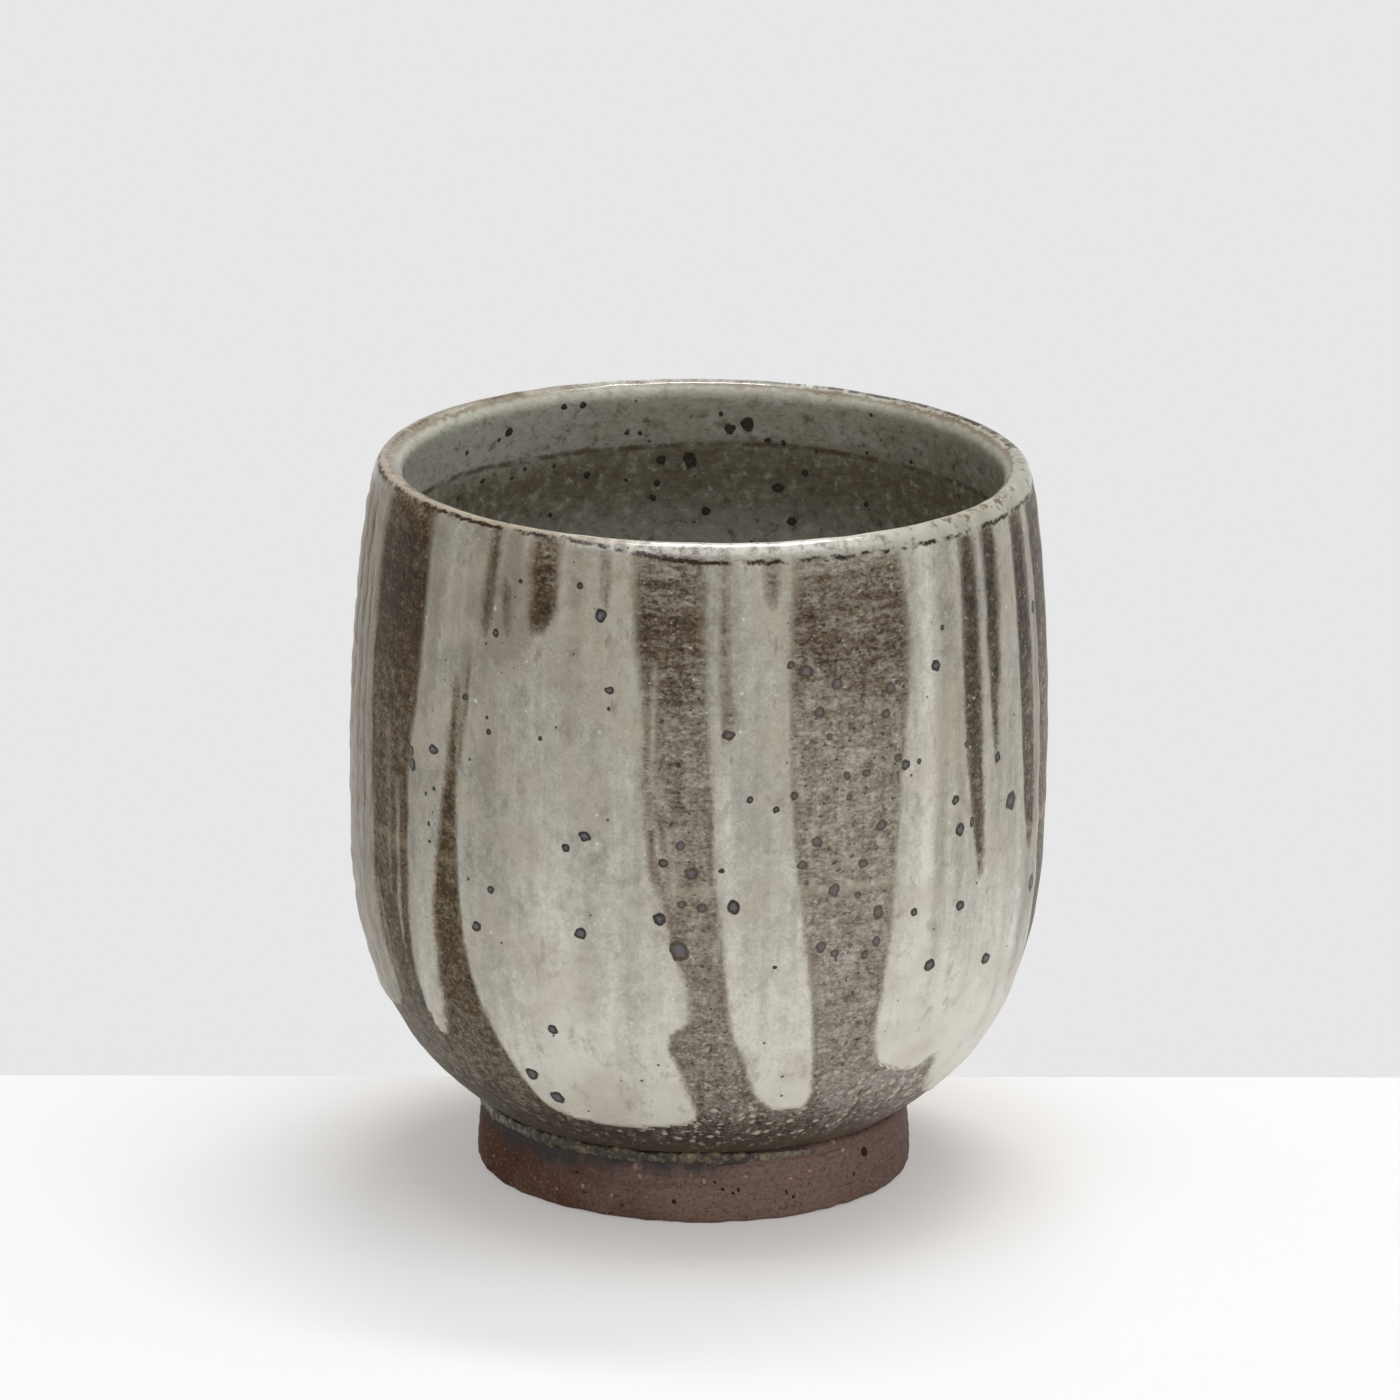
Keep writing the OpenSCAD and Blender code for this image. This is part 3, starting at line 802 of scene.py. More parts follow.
def build_coat(cup):
    """The glaze outside, over the lip and inside is turned as one skin and then parted."""
    fit = 1 + cup.smoothing_loss
    stations = even(WALL, cup.row)[:-1]
    stations += even([WALL[-1]] + LIP + [INSIDE[0]], cup.row * 0.2)
    stations += even(INSIDE, cup.row)[1:]
    coat = turned("base_coat", [(r * fit, z) for r, z in stations], cup.facets)
    mesh = coat.data
    fields = [coat_fields(v.co) for v in mesh.vertices]
    on_lip = [face.center.z > LINE for face in mesh.polygons]
    inside = [fields[face.vertices[0]].run is None
              for lip, face in zip(on_lip, mesh.polygons) if not lip]

    def shift(point, index):
        path, height = fields[index].path, point.z / MM
        move = 0.05 * lumps(point, 30, 1) + 0.018 * lumps(point, 2.2, 2)
        if path < 0:
            rib = math.sin(TURN * (height + 0.8 * lumps(point, 40, 3)) / RIB_STEP)
            ridge = math.exp(-((height - RIDGE_HEIGHT - lumps(point, 30, 8)) / 0.7) ** 2)
            move += smooth(path, -0.4, -4) * (0.03 * rib + 0.06 * ridge)
            scarred = smooth(abs(bearing_of(point) - SCARRED), 34, 20)
            move += 0.2 * scarred * smooth(path, -1, -4) * lumps(point, 1.9, 12)
        return move + 0.08 * smooth(abs(path), 3, 0.5) * lumps(point, 3.6, 5)

    worked(coat, shift)
    paint_coat(coat, fields, [0] * len(fields))
    whole = mesh.attributes.new("whole", "FLOAT_VECTOR", "POINT")
    whole.data.foreach_set("vector", [x for v in mesh.vertices for x in v.normal])
    mesh.attributes.new("run", "INT", "POINT").data.foreach_set(
        "value", [RUNS.index(f.run) if f.run and f.pour > -cup.run_skirt else -1 for f in fields])

    lip = split_off(coat, "lip_coat", on_lip)
    hollow = split_off(coat, "inner_coat", inside)
    runs = build_runs(coat, cup)
    lay_spots({"base_coat": coat, "inner_coat": hollow, **runs}, cup)
    outer_edge = WALL[-1][0] - 0.1 * MM, WALL[-1][1]
    inner_edge = INSIDE[0][0] + 0.1 * MM, INSIDE[0][1]
    seated(coat, [WALL[0]] + WALL_SEAT + [outer_edge])
    seated(lip, [outer_edge] + LIP_SEAT + [inner_edge])
    seated(hollow, [inner_edge] + INSIDE_SEAT, clay_within=False)
    outer = glaze("outer_glaze", cup, inside=False)
    placed(coat, outer, "base_glaze")
    placed(lip, glaze("lip_glaze", cup), "lip_glaze")
    placed(hollow, glaze("inner_glaze", cup, outside=False), "inner_glaze")
    for name, node in zip(runs, RUNS):
        placed(runs[name], outer, node)


def build_runs(coat, cup):
    """Each poured run is a layer of its own over the base coat, thin at its edge."""
    rest = copied(coat, "pour")
    runs = {}
    for index, node in enumerate(RUNS):
        owner = values_of(rest, "run")
        chosen = [all(owner[i] == index for i in face.vertices) for face in rest.data.polygons]
        name = node.replace("run", "pour")
        run = split_off(rest, name, chosen)
        pour, path = values_of(run, "pour"), values_of(run, "path")

        def rise(point, i):
            height = point.z / MM
            body = smooth(pour[i], -0.6, 0.8) + 0.15 * lumps(point, 9, 11)
            bead = smooth(pour[i], -0.4, 0.7) * smooth(pour[i], 3, 0.9) * smooth(height, 34, 18)
            drawn_out = outward(bearing_of(point)) * 13 + Vector((0, 0, height / 60))
            body += 0.3 * noise.noise(drawn_out) * smooth(pour[i], 0, 1)
            return smooth(path[i], -2.6, -6) * (cup.run_rise * body + 0.09 * bead) - 0.03

        worked(run, rise)
        only(run)
        depth = run.modifiers.new("depth", "SOLIDIFY")
        depth.thickness = (cup.run_rise + 0.1) * MM
        depth.offset = -1
        bpy.ops.object.modifier_apply(modifier=depth.name)
        forget(run, "whole", "run")
        runs[name] = run
    bpy.data.objects.remove(rest)
    return runs


def seated(coat, stations, clay_within=True):
    """Closes a coat with its seat on the clay, and shades it as it was in the whole skin."""
    seat = turned("seat", stations, 96, 0)
    if clay_within:
        seat.data.flip_normals()
    joined(coat, [seat])
    mesh = coat.data
    kept = [Vector(mark.vector) for mark in mesh.attributes["whole"].data]
    mesh.normals_split_custom_set_from_vertices(
        [old if old.length > 0.5 else v.normal for old, v in zip(kept, mesh.vertices)])
    forget(coat, "whole", "run")


# Iron spots

# Bearing, height in mm, radius in mm and how far the middle clears to blue-grey
SPOTS_OUTSIDE = (
    (-16.8, 80, .85, .9), (-14.8, 71.2, .6, .8), (-48.3, 60, .85, .8), (-54.5, 58.7, .8, .7),
    (-54, 57.2, .95, .6), (-18.4, 53.1, .8, .9), (-21.6, 51.4, .6, .5), (-35.5, 44.5, .6, .9),
    (-38.4, 39.5, .75, .9), (-19, 41, .85, 1), (-2.8, 39.6, 1.4, 1), (-25, 27.8, .75, .9),
    (-31.4, 20.6, 1, 1), (-27.5, 17.6, 1.1, 1), (-57.3, 26.6, 1.2, .7), (-60, 35.2, 1, .7),
    (-62.5, 20.4, 1.3, .7), (-56.7, 81.3, .8, .5), (-67.2, 85.1, .8, .4), (-0.7, 86.9, .75, 1),
    (4.7, 66.3, .8, .8), (8.2, 58.4, .5, .8), (12.5, 57.1, .5, .4), (5.8, 45.2, .95, .9),
    (-2.8, 52.7, .7, .9), (17.5, 73.6, 1, .9), (14.9, 74.5, .6, .7), (22.8, 71.8, .8, 1),
    (19.7, 68.6, .8, 1), (32.7, 70.4, .85, 1), (31.7, 67.4, .7, .7), (30.9, 53.8, .85, .9),
    (19.5, 52.7, .8, 1), (27.7, 49.4, .7, .9), (22.5, 46.5, .9, 1), (35.4, 60.8, .7, .9),
    (42, 72.1, .8, .7), (41.8, 34.8, .9, 1), (37.6, 42.2, .6, .8), (47.9, 41.5, .8, .9),
    (51.5, 80.2, 1.2, .5), (47.3, 51.1, .95, .9), (46.1, 55, .7, .5), (62, 52.1, 1.4, .6),
    (57.5, 58.4, .7, .5), (56.8, 33.1, .95, .8), (72.5, 39.6, 1.2, .7), (74, 74, .9, .5),
    (-35.9, 76.1, .6, .5), (-54.3, 65.3, .6, .5), (-41.6, 67.5, .5, .5), (-57, 62, .8, .5),
    (-57, 53.4, .8, .4), (-61.5, 52.2, .7, .4), (-68, 73, .8, .3), (-66, 47.5, .9, .3),
    (-3.6, 77.5, .7, .5), (-2.2, 72.5, .6, .8), (-4, 70.8, .6, .6), (21.5, 65.5, .5, .7),
    (24.5, 60.5, .6, .6), (28, 60.5, .6, .6), (34, 61.8, .6, .5), (25, 57.8, .5, .6),
    (15.5, 58.6, .6, .5), (17, 50, .7, .8), (26.8, 45.5, .5, .9), (30.7, 43, .9, 1),
    (20.5, 39.5, .8, 1), (30.5, 39.3, .7, 1), (28.5, 37.8, .6, .9), (23, 38.5, .6, .9),
    (0.8, 45, .7, .8), (-1, 49.3, .9, .8), (-5.5, 50.5, .7, .6), (-2.5, 45.4, .6, .8),
    (-6, 43.5, .9, .7), (51.6, 76.3, .7, .4), (51.5, 63.9, .6, .4), (51.5, 60.3, .6, .4),
    (49, 61.5, .6, .4), (51.5, 57.2, .6, .4), (50.5, 51.5, .7, .4), (58.2, 78.6, .6, .3),
    (57.6, 73, .6, .3), (66.4, 69, .8, .2), (70.5, 68.8, .8, .2), (70, 59.5, .7, .3),
    (71, 50.2, .8, .3), (43.8, 76.5, .4, .3), (38, 60.9, .4, .6), (-44, 56.7, .3, .1),
    (-48, 55.2, .35, .1), (-50, 54.2, .3, .1), (-49.3, 50.6, .35, .1), (-49, 48.4, .3, .1),
    (-36.3, 64, .45, .2), (-36.8, 65.7, .3, .2), (-26.5, 64.4, .35, .3), (-14.8, 69, .3, .1),
    (-20.6, 83.3, .5, .2), (-31.7, 82.8, .35, .1), (12.8, 37.4, .3, 0), (3.8, 49.7, .4, .2))

# Places in the photograph, in its pixels, with a radius in mm
SPOTS_INSIDE = (
    (509, 432, .7), (564, 407, .5), (583, 405, .55), (627, 433, .35), (640, 433, .35),
    (690, 460, 1.15), (661, 460, .7), (587, 475, .55), (657, 483, .5), (653, 498, .5),
    (482, 481, .4), (467, 453, .4), (499, 440, .35), (550, 515, .4), (554, 466, .3),
    (626, 480, .3), (512, 478, .3), (525, 469, .3), (747, 424, 1.05), (730, 429, .85),
    (721, 414, .4), (768, 440, .5), (784, 443, .45), (805, 473, .6), (778, 488, .85),
    (706, 511, .7), (792, 521, .7), (866, 504, .45), (830, 407, .35), (911, 414, .4),
    (871, 415, .3), (911, 462, .35), (959, 496, .35), (962, 432, .35), (867, 453, .3))


def spot_master():
    """The disc of rings that every iron spot is copied from."""
    start_fresh()
    bpy.ops.mesh.primitive_circle_add(vertices=24, radius=1, fill_type="NGON")
    master = bpy.context.object
    bpy.ops.object.mode_set(mode="EDIT")
    bpy.ops.mesh.select_all(action="SELECT")
    for depth in (0.15, 0.2, 0.25):
        bpy.ops.mesh.inset(thickness=depth)
    bpy.ops.mesh.poke()
    bpy.ops.object.mode_set(mode="OBJECT")
    return master


def first_hit(trees, start, way, reach=2):
    """The nearest piece that a line meets: (way to it, place, normal, name of the piece)."""
    hits = []
    for name, tree in trees.items():
        place, normal, _, far = tree.ray_cast(start, way, reach)
        if place:
            hits.append((far, place, normal, name))
    return min(hits, key=lambda hit: hit[0], default=None)


def spot_places(cup):
    """Start and direction of a line to each iron spot, its radius and how clear its middle is."""
    draw = random.Random(cup.seed)
    for bearing, height, size, clear in SPOTS_OUTSIDE:
        away = outward(bearing)
        yield away * OFF_CUP + Vector((0, 0, height * MM)), -away, size, clear
    stage = bpy.context.scene.teacup_stage
    for x, y, size in SPOTS_INSIDE:
        yield *through_pixel(stage, x, y), size, 0.35
    for k in range(cup.hidden_spots):
        away = outward(draw.uniform(82, 278))
        start = away * OFF_CUP + Vector((0, 0, draw.uniform(13, 86) * MM))
        yield start, -away, draw.uniform(0.35, 1.1) * draw.uniform(0.6, 1), draw.random()
        away = outward(draw.uniform(-100, 100))
        start = Vector((0, 0, draw.uniform(14, 85) * MM))
        yield start, away, draw.uniform(0.3, 0.8), 0.3


def lay_spots(pieces, cup):
    """Copies the master disc to every iron spot and joins the spots to their glaze."""
    hub = bpy.context.evaluated_depsgraph_get()
    trees = {name: BVHTree.FromObject(obj, hub) for name, obj in pieces.items()}
    master = spot_master()
    laid = {name: [] for name in pieces}
    for number, (start, way, size, clear) in enumerate(spot_places(cup)):
        hit = first_hit(trees, start, way)
        if not hit:
            continue
        _, centre, normal, owner = hit
        level = normal.cross(Vector((0, 0, 1))).normalized()
        down = level.cross(normal)
        stretch = 1 + 0.25 * noise.noise(centre * 900)
        spot = copied(master, "spot")
        fields, depth = [], []
        for v in spot.data.vertices:
            reach = v.co.length
            uneven = 1 + 0.3 * noise.noise(v.co / max(reach, 0.3) * 1.1 + Vector((number, 0, 0)))
            flat = (level * v.co.x * stretch + down * v.co.y / stretch) * size * uneven * MM
            found = first_hit(trees, centre + flat + normal * 2 * MM, -normal, 4 * MM)
            place, skin = found[1:3] if found else (centre + flat, normal)
            lift = -0.014 + 0.035 * smooth(reach, 1, 0.75) + 0.02 * smooth(reach, 0.9, 0.6)
            v.co = place + skin * (lift - 0.02 * clear * smooth(reach, 0.5, 0)) * MM
            fields.append(coat_fields(place))
            depth.append((1 - reach) * (0.5 + 0.5 * clear))
        paint_coat(spot, fields, depth)
        laid[owner].append(spot)
    bpy.data.objects.remove(master)
    for name, spots in laid.items():
        joined(pieces[name], spots)


# Foot

# Turning marks, in mm: the step of the grooves round the foot and of the spiral under the cup
GROOVE_STEP, SPIRAL_STEP = 1.35, 1.9

# Places on the foot in the photograph, in its pixels, with a radius in mm
FOOT_PITS = (
    (517, 1160, .21), (576, 1172, .24), (584, 1193, .21), (621, 1205, .24), (674, 1202, .33),
    (715, 1182, .21), (738, 1190, .24), (787, 1192, .24), (855, 1174, .24), (722, 1189, .27),
    (733, 1193, .21), (794, 1197, .27), (865, 1152, .65), (809, 1181, .18), (700, 1187, .18))
FOOT_CHIPS = (
    (638, 1166, .6), (640, 1176, .34), (583, 1186, .26), (535, 1178, .22), (720, 1160, .38),
    (833, 1142, .3), (843, 1150, .26), (704, 1181, .22), (557, 1189, .19), (612, 1196, .19),
    (745, 1176, .22), (810, 1171, .22), (691, 1175, .22), (494, 1156, .22), (790, 1178, .22))


def build_foot(cup):
    """The turned foot ring, with the photograph's pits and chips and a worn edge."""
    ring = rings("foot_ring")
    centre = (sum(r for r, z in ring) / len(ring), sum(z for r, z in ring) / len(ring))
    ring.sort(key=lambda p: math.atan2(p[1] - centre[1], p[0] - centre[0]))
    start = ring.index(min(ring, key=lambda p: p[0] - p[1]))
    ring = ring[start:] + ring[:start]
    foot = turned("foot", even(ring, cup.row * 0.5), cup.foot_facets, close=True)
    tree = BVHTree.FromObject(foot, bpy.context.evaluated_depsgraph_get())
    stage = bpy.context.scene.teacup_stage
    marks = []
    for places, way in ((FOOT_PITS, -1), (FOOT_CHIPS, 1)):
        for x, y, size in places:
            place = tree.ray_cast(*through_pixel(stage, x, y))[0]
            if place:
                marks.append((place, size * MM, way))
    values = []
    for v in foot.data.vertices:
        value = 0
        for place, size, way in marks:
            gap = (v.co - place).length
            if gap < size * 1.5:
                value += way * smooth(gap, size * 1.5, size * 0.3)
        values.append(value)

    def shift(point, index):
        height = point.z / MM
        groove = 0.04 * math.sin(TURN * (height + 0.5 * lumps(point, 18, 4)) / GROOVE_STEP)
        worn = 0.16 * lumps(point, 2.4, 6) * smooth(height, 2.2, 0.4)
        mark = values[index] * (0.25 if values[index] < 0 else 0.1)
        return groove + 0.05 * lumps(point, 1.5, 7) + worn + 0.1 * lumps(point, 14, 9) + mark

    worked(foot, shift)
    for v in foot.data.vertices:
        v.co.z = max(v.co.z, 0)
    paint(foot, mark=values)
    placed(foot, bare_clay("bare_clay", cup), "foot_ring")


def build_roll(cup):
    """The roll of glaze on the foot: uneven beads that thin out towards both ends."""
    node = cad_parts["foot_glaze_roll"].data
    bearings = [bearing_of(v.co) for v in node.vertices]
    low, high = min(bearings), max(bearings)
    section = sorted(rings("foot_glaze_roll"), key=lambda p: p[1])
    roll = turned("glaze_roll", section, 64, 2, math.radians(high - low), close=True)
    middle = bearing_of(sum((v.co for v in roll.data.vertices), Vector()))
    roll.data.transform(Matrix.Rotation(math.radians((low + high) / 2 - middle), 4, "Z"))

    def shift(point, index):
        bearing = bearing_of(point)
        ends = smooth(bearing, high, high - 30) * smooth(bearing, low, low + 8)
        beads = (0.02 + 0.32 * lumps(point, 1.9, 21) + 0.18 * lumps(point, 0.9, 22)
                 + 0.3 * lumps(point, 4.5, 23))
        onto_wall = 0.33 * smooth(point.z / MM, 8.3, 9)
        return (beads + onto_wall) * ends - 0.42 * (1 - ends)

    worked(roll, shift)
    placed(roll, beaded_glaze("beaded_glaze", cup), "foot_glaze_roll")


def build_bowl(cup):
    """The clay bowl under the glazes. Only the roof of the foot's recess shows."""
    roof = [ring for ring in CLAY if ring[1] < INSIDE[-1][1] and not near(ring, WALL_SEAT)
            and not near(ring, INSIDE_SEAT)]
    roof.sort(key=inward)
    section = [WALL_SEAT[0]] + roof
    stations = INSIDE_SEAT[::-1] + LIP_SEAT[::-1][1:] + WALL_SEAT[::-1][1:]
    stations += even(section, cup.row)[1:]
    bowl = turned("clay_bowl", stations, 96, 1)

    def shift(point, index):
        radius = math.hypot(point.x, point.y)
        if point.z > FOOT_TOP + MM or radius > roof[0][0]:
            return 0
        return 0.09 * math.sin(TURN * (radius / MM / SPIRAL_STEP + bearing_of(point) / 360))

    worked(bowl, shift)
    paint(bowl, mark=[0] * len(bowl.data.vertices))
    placed(bowl, bare_clay("bowl_clay", cup), "bowl_body")


# Stage

PHOTO = 1400        # pixels along each side of the photograph
SENSOR = 36         # mm
HORIZON = (1075.3, 1077.6)      # where the floor ends, at the photograph's left and right edge
FLOOR_SIDE, FLOOR_NEAR, BEYOND, BACKDROP_REACH = 1.3, -1.2, 1.2, Vector((0, 1.6, 0))


def camera_frame(stage):
    """The camera's place and turn: it looks down along +Y, with the photograph's slight roll."""
    tilt = Matrix.Rotation(math.pi / 2 - stage.pitch, 4, "X")
    return Matrix.Translation(stage.eye) @ tilt @ Matrix.Rotation(stage.roll, 4, "Z")


def through_pixel(stage, x, y):
    """Line of sight through a pixel of the photograph."""
    reach = stage.lens / SENSOR * PHOTO
    local = Vector(((x - PHOTO / 2) / reach, (PHOTO / 2 - y) / reach, -1))
    turn = camera_frame(stage)
    return turn.translation, (turn.to_3x3() @ local).normalized()


def on_floor(stage, x, y):
    eye, sight = through_pixel(stage, x, y)
    return eye - sight * (eye.z / sight.z)


def plain(name, colour, seen_colour, share=1, cast=None):
    """A plain matt surface, with painted bounce light of another colour round the foot if one is
    given.
    The camera and gloss see a share of a constant tone."""
    f = Finish(name)
    tint = f.layers(colour, (MID_GREY, f.fit(f.cloud(60), 0.3, 0.7, 0, 0.02)))
    if cast:
        reach = f.add("VectorMath", {0: f.place}, operation="LENGTH").outputs["Value"]
        # Painted bounce light: a warm tint round the foot
        tint = f.layers(tint, (cast, f.fit(reach, 58, 30)))
    f.done(tint, 0.9, {"Specular IOR Level": 0.1})
    rays = f.add("LightPath").outputs
    seen = f.times(f.math("MAXIMUM", rays["Is Camera Ray"], rays["Is Glossy Ray"]), share)
    glow = f.add("Emission", {"Color": seen_colour, "Strength": 1}).outputs[0]
    both = f.add("MixShader", {0: seen, 1: f.shader.outputs[0], 2: glow}).outputs[0]
    f.feed(f.tree.nodes["Material Output"].inputs["Surface"], both)
    return f.material


def sheet_of(name, corners, material):
    """A flat four-sided sheet with the given corners."""
    start_fresh()
    bpy.ops.mesh.primitive_plane_add(size=1)
    obj = bpy.context.object
    obj.name = obj.data.name = name
    for v, corner in zip(obj.data.vertices, corners):
        v.co = corner
    obj.data.materials.append(material)


def softbox(name, place, aim, size, watts):
    bpy.ops.object.light_add(type="AREA", location=place)
    lamp = bpy.context.object
    lamp.name = lamp.data.name = name
    lamp.rotation_euler = (Vector(aim) - Vector(place)).to_track_quat("-Z", "Y").to_euler()
    lamp.data.shape = "RECTANGLE"
    lamp.data.size, lamp.data.size_y = size
    lamp.data.energy = watts


def build_world(stage):
    """Even white light from all round, a little stronger on the side of the window."""
    world = bpy.data.worlds.new("studio")
    bpy.context.scene.world = world
    world.use_nodes = True
    wiring = Wiring(world.node_tree)
    lean = wiring.add("VectorMath", {0: wiring.add("TexCoord").outputs["Generated"],
                                     1: stage.window}, operation="DOT_PRODUCT")
    level = wiring.add("Math", {0: lean.outputs["Value"], 1: stage.window_light,
                                2: stage.world_light}, operation="MULTIPLY_ADD").outputs[0]
    light = world.node_tree.nodes["Background"].inputs
    wiring.feed(light["Color"], (1, 1, 1, 1))
    wiring.feed(light["Strength"], level)


def build_stage(stage):
    left, right = (on_floor(stage, x, y) for x, y in zip((0, PHOTO), HORIZON))
    along = (right - left).normalized() * BEYOND
    far_left, far_right = left - along, right + along
    sheet_of("floor", (Vector((-FLOOR_SIDE, FLOOR_NEAR, 0)), Vector((FLOOR_SIDE, FLOOR_NEAR, 0)),
                       far_left, far_right),
             plain("floor_white", stage.floor, stage.floor_seen, stage.floor_lift,
                   stage.floor_painted_bounce))
    sheet_of("backdrop", (far_left, far_right, far_left + BACKDROP_REACH,
                          far_right + BACKDROP_REACH),
             plain("backdrop_grey", stage.backdrop, stage.backdrop_seen))
    softbox("top_light", stage.top_place, (0, 0, 0.05), stage.top_size, stage.top_watts)
    softbox("strip_light", stage.strip_place, (0, 0, 0.08), stage.strip_size, stage.strip_watts)
    build_world(stage)
    camera = bpy.data.cameras.new("camera")
    eye = bpy.data.objects.new("camera", camera)
    bpy.context.scene.collection.objects.link(eye)
    camera.lens, camera.sensor_width = stage.lens, SENSOR
    camera.clip_start, camera.clip_end = 0.05, 20
    eye.matrix_world = camera_frame(stage)
    bpy.context.scene.camera = eye
    bpy.context.scene.view_settings.view_transform = "Standard"


# Settings

def number(label, text, default, **more):
    kind = bpy.props.IntProperty if isinstance(default, int) else bpy.props.FloatProperty
    return kind(name=label, description=text, default=default, **more)


def numbers(label, text, default, **more):
    return bpy.props.FloatVectorProperty(
        name=label, description=text, default=default, size=len(default), **more)


def hue(label, text, *screen):
    return numbers(label, text, tone(*screen), subtype="COLOR", min=0, max=1)


class TeacupSettings(bpy.types.PropertyGroup):
    """Sizes and colours of the cup's pieces."""

    row: number("Row", "Spacing of the stations of a section before it is smoothed", 2.4 * MM,
                min=0.5 * MM, subtype="DISTANCE", unit="LENGTH")
    facets: number("Facets", "Steps of the spin round the axis before it is smoothed", 96, min=24)
    foot_facets: number("Foot facets", "Steps of the spin of the foot ring", 128, min=24)
    smoothing_loss: number("Smoothing loss", "Share of the radius that smoothing takes away",
                           0.0007, precision=4)
    run_rise: number("Run rise", "How far a poured run stands proud of the base, in mm", 0.22,
                     min=0)
    run_skirt: number("Run skirt", "How far a run's layer reaches past its outline, in mm", 0.9,
                      min=0)
    hidden_spots: number("Hidden spots", "Pairs of iron spots on the sides that the photograph "
                         "hides: one outside, one inside", 60, min=0)
    seed: number("Seed", "Draws the hidden iron spots", 7)
    lip_gloss: number("Lip gloss", "How glossy the glaze is on the lip", 0.8, min=0)
    pale: hue("Pale glaze", "Poured glaze of middling thickness", 179, 175, 163)
    # The dull and thick pale glazes also stand for painted shade and painted light
    pale_dull_and_shaded: hue("Pale glaze, dull", "Poured glaze where it lies thin", 142, 136, 123)
    pale_thick_and_lit: hue("Pale glaze, thick", "Poured glaze where it gathers", 221, 217, 206)
    pale_warm: hue("Pale glaze, warm", "Warm clouds in the poured glaze", 182, 170, 152)
    pale_thin: hue("Pale glaze, thin", "Where the base shows through", 128, 116, 98)
    fringe: hue("Fringe", "Brown border of the poured glaze", 112, 94, 70)
    base_pale: hue("Base glaze, pale", "Palest places of the base glaze", 182, 175, 165)
    base_light: hue("Base glaze, light", "Taupe ground of the base glaze", 136, 127, 114)
    base_brown: hue("Base glaze, brown", "Brown ground of the base glaze", 87, 73, 55)
    base_black: hue("Base glaze, flecks", "Brown-black flecks", 36, 25, 13)
    # Painted shade that darkens the glaze towards the crease over the foot
    crease_shade: hue("Base glaze, crease", "Brown line in the crease", 84, 72, 60)
    cream: hue("Cream", "Cream flecks and grog", 200, 189, 168)
    iron_dark: hue("Iron, dark", "Ring of an iron spot and the specks", 40, 34, 31)
    iron_blue: hue("Iron, middle", "Blue-grey middle of an iron spot", 110, 107, 112)
    inside_high: hue("Inside, high", "Inside, above the throwing line", 168, 164, 150)
    inside_pale: hue("Inside, pale", "Paler clouds above the line", 184, 182, 170)
    # Painted light on the left wall and the lower inside; also pale curd in the glaze
    inside_milk_and_light: hue("Inside, left", "Milky glaze on the left wall", 186, 186, 174)
    inside_low: hue("Inside, low", "Inside, below the throwing line", 106, 97, 81)
    inside_green: hue("Inside, green", "Green-grey blotches below the line", 122, 117, 101)
    inside_brown: hue("Inside, brown", "Brown streaks below the line", 102, 92, 76)
    inside_line: hue("Inside, line", "Broken brown throwing line", 84, 70, 52)
    lip: hue("Lip", "Pinkish clay breaking through on the lip", 170, 156, 136)
    lip_green: hue("Lip, green", "Grey-green glaze over the lip at the right", 174, 173, 158)
    # Painted highlight on the crest at the front; also white flecks and painted glints in the pale
    # glaze
    white_fleck_and_highlight: hue("Lip, white", "Glaze gathered on the crest at the front", 230, 228, 218)
    lip_line: hue("Lip, line", "Broken brown line under the crest", 44, 26, 10)
    clay: hue("Clay", "Bare clay at the front and right", 130, 107, 97)
    clay_burnt: hue("Clay, burnt", "Orange-brown clay at the left", 82, 47, 26)
    clay_dark: hue("Clay, dark", "Dark turning lines", 78, 58, 50)
    clay_pale: hue("Clay, pale", "Pale grit", 146, 122, 110)
    clay_chip: hue("Clay, chips", "Cream and pinkish grog in the clay", 186, 158, 136)
    clay_pit: hue("Clay, pits", "Holes and dark inclusions", 42, 28, 25)
    blush: hue("Blush", "Blue-black band under the glaze's edge", 58, 60, 62)
    roll_green: hue("Roll, green", "Greenish beads of the roll", 148, 134, 104)
    roll_dark: hue("Roll, dark", "Dark gaps between the beads", 50, 43, 34)


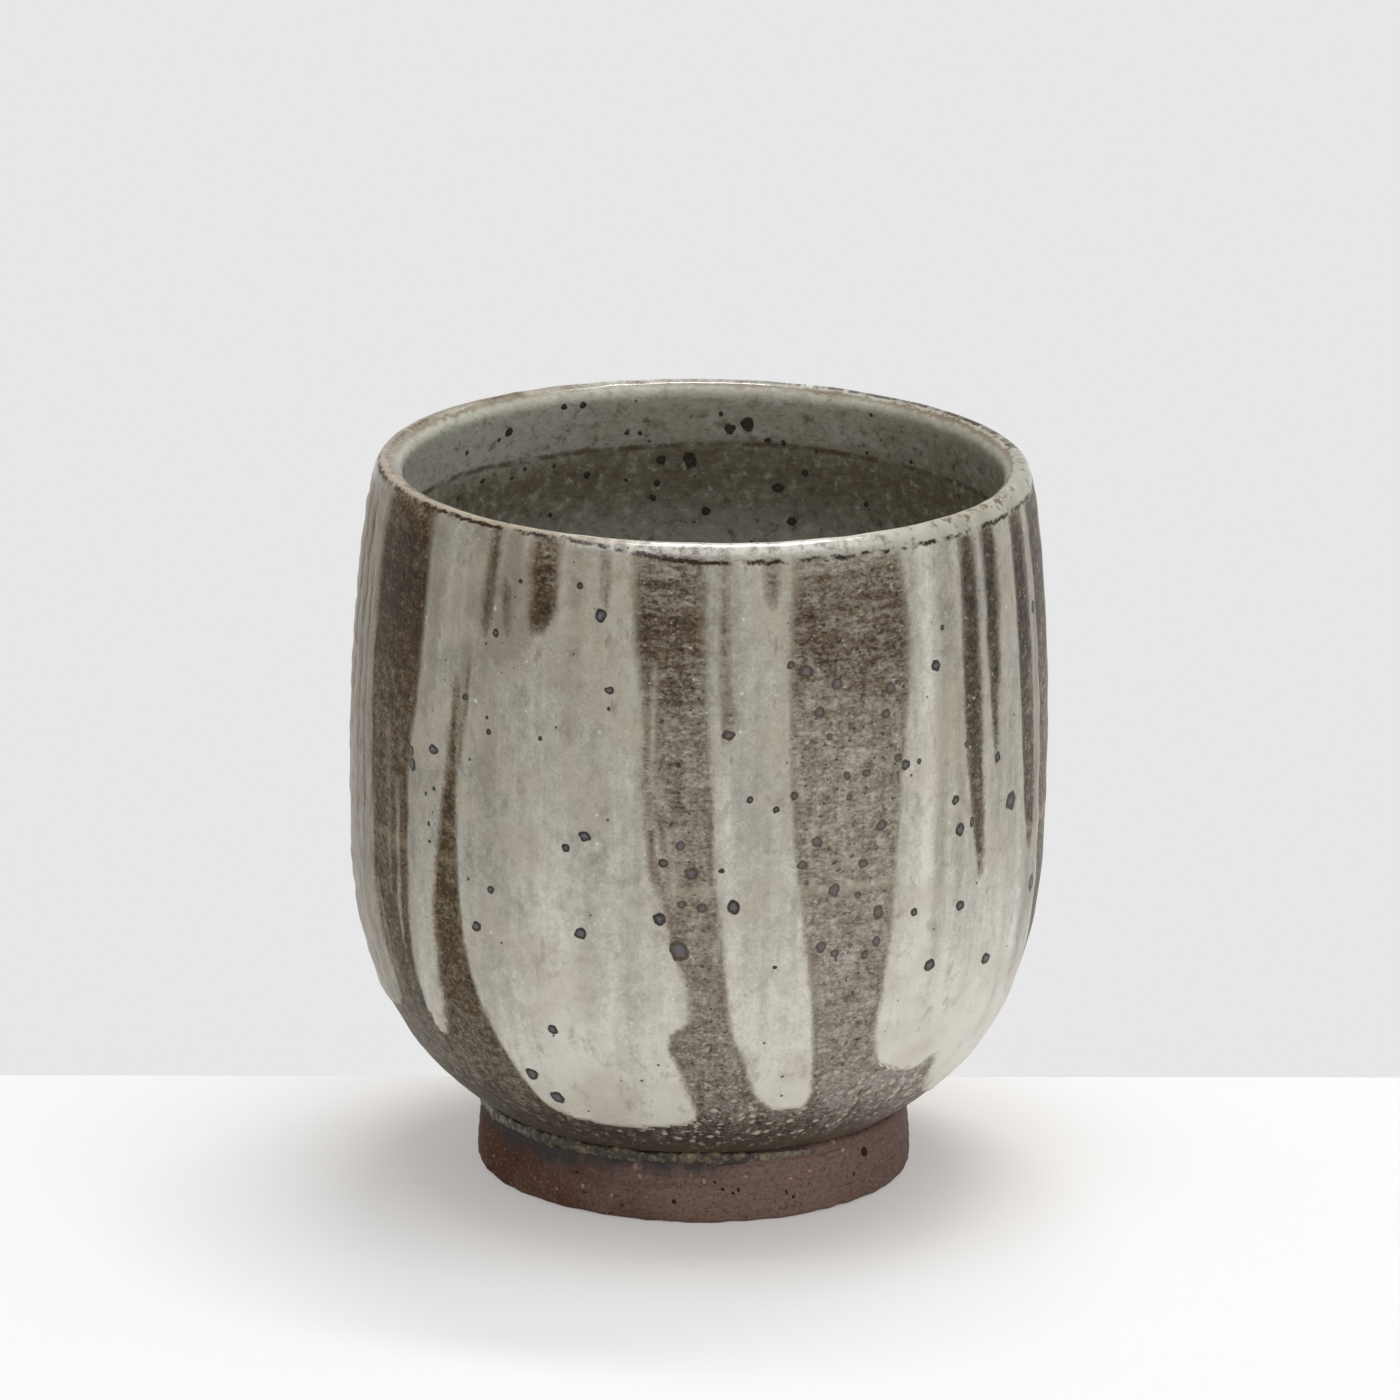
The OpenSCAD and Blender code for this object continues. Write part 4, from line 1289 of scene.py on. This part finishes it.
class TeacupStage(bpy.types.PropertyGroup):
    """Camera, lamps and backdrop."""

    eye: numbers("Camera place", "Where the camera stands", (0, -1.2736, 0.4299147),
                subtype="TRANSLATION", unit="LENGTH", precision=5)
    pitch: number("Pitch", "How far the camera looks down", math.radians(16.2634),
                  subtype="ANGLE", unit="ROTATION")
    roll: number("Roll", "Turn of the camera about its line of sight", math.radians(0.7985),
                 subtype="ANGLE", unit="ROTATION")
    lens: number("Lens", "Focal length for a 36 mm sensor, in mm", 279.878)
    top_place: numbers("Top light's place", "Where the long light over the cup hangs",
                      (0.1, 0.02, 1.18), subtype="TRANSLATION", unit="LENGTH")
    top_size: numbers("Top light's size", "Width and length of the light over the cup",
                     (0.35, 0.8), subtype="XYZ", unit="LENGTH")
    top_watts: number("Top light", "Power of the light over the cup", 3.6, unit="POWER")
    strip_place: numbers("Strip light's place", "Where the light that draws the lip's gloss hangs",
                        (0.12, 0.4, 1.1), subtype="TRANSLATION", unit="LENGTH")
    strip_size: numbers("Strip light's size", "Width and depth of the strip light", (0.5, 0.1),
                       subtype="XYZ", unit="LENGTH")
    strip_watts: number("Strip light", "Power of the strip light", 4.1, unit="POWER")
    world_light: number("World light", "Strength of the even light from all round", 0.65)
    window: numbers("Window", "Direction of the brighter side of the room", (0.8, -0.52, 0.3),
                   subtype="DIRECTION")
    window_light: number("Window light", "How much brighter that side is", 0.18)
    floor_lift: number("Floor lift", "Share of even tone in the floor as the camera sees it",
                       0.28, min=0, max=1)
    floor: hue("Floor", "Colour of the floor", 239, 239, 239)
    floor_seen: hue("Floor, seen", "Even tone in the floor as the camera sees it", 248, 248, 248)
    # Painted bounce light: a warm tint on the floor round the foot
    floor_painted_bounce: hue("Floor, warm", "Warm cast that the clay throws round the foot", 237, 229, 220)
    backdrop: hue("Backdrop", "Colour of the backdrop's own surface", 235, 235, 235)
    backdrop_seen: hue("Backdrop, seen", "Tone of the backdrop in the picture", 231, 231, 231)


class TeacupCoat(bpy.types.Operator):
    """Turn the glazed wall, lip and inside, and pour the pale runs over it"""

    bl_idname = "teacup.coat"
    bl_label = "Glaze coat"

    def execute(self, context):
        build_coat(context.scene.teacup)
        return {"FINISHED"}


class TeacupFoot(bpy.types.Operator):
    """Turn the bare foot ring with its grooves and worn rest"""

    bl_idname = "teacup.foot"
    bl_label = "Foot ring"

    def execute(self, context):
        build_foot(context.scene.teacup)
        return {"FINISHED"}


class TeacupRoll(bpy.types.Operator):
    """Lay the beaded edge of the glaze on the foot"""

    bl_idname = "teacup.roll"
    bl_label = "Glaze roll"

    def execute(self, context):
        build_roll(context.scene.teacup)
        return {"FINISHED"}


class TeacupBowl(bpy.types.Operator):
    """Turn the clay bowl under the glazes, with the recess in the foot"""

    bl_idname = "teacup.bowl"
    bl_label = "Clay bowl"

    def execute(self, context):
        build_bowl(context.scene.teacup)
        return {"FINISHED"}


class TeacupSet(bpy.types.Operator):
    """Set up the floor, the backdrop, the lamps and the camera"""

    bl_idname = "teacup.stage"
    bl_label = "Stage"

    def execute(self, context):
        build_stage(context.scene.teacup_stage)
        return {"FINISHED"}


BUILDERS = (TeacupCoat, TeacupFoot, TeacupRoll, TeacupBowl, TeacupSet)


class TeacupPanel(bpy.types.Panel):
    """The cup's settings and builders."""

    bl_idname = "VIEW3D_PT_teacup"
    bl_label = "Tea cup"
    bl_space_type = "VIEW_3D"
    bl_region_type = "UI"
    bl_category = "Tea cup"

    def draw(self, context):
        for settings in (context.scene.teacup, context.scene.teacup_stage):
            box = self.layout.box()
            for key in settings.__annotations__:
                box.prop(settings, key)
        for builder in BUILDERS:
            self.layout.operator(builder.bl_idname)


CLASSES = (TeacupSettings, TeacupStage, *BUILDERS, TeacupPanel)


def register():
    for cls in CLASSES:
        bpy.utils.register_class(cls)
    bpy.types.Scene.teacup = bpy.props.PointerProperty(type=TeacupSettings)
    bpy.types.Scene.teacup_stage = bpy.props.PointerProperty(type=TeacupStage)


def unregister():
    del bpy.types.Scene.teacup
    del bpy.types.Scene.teacup_stage
    for cls in reversed(CLASSES):
        bpy.utils.unregister_class(cls)


def main():
    register()
    bpy.ops.teacup.coat()
    bpy.ops.teacup.foot()
    bpy.ops.teacup.roll()
    bpy.ops.teacup.bowl()
    bpy.ops.teacup.stage()


if __name__ == "__main__":
    main()
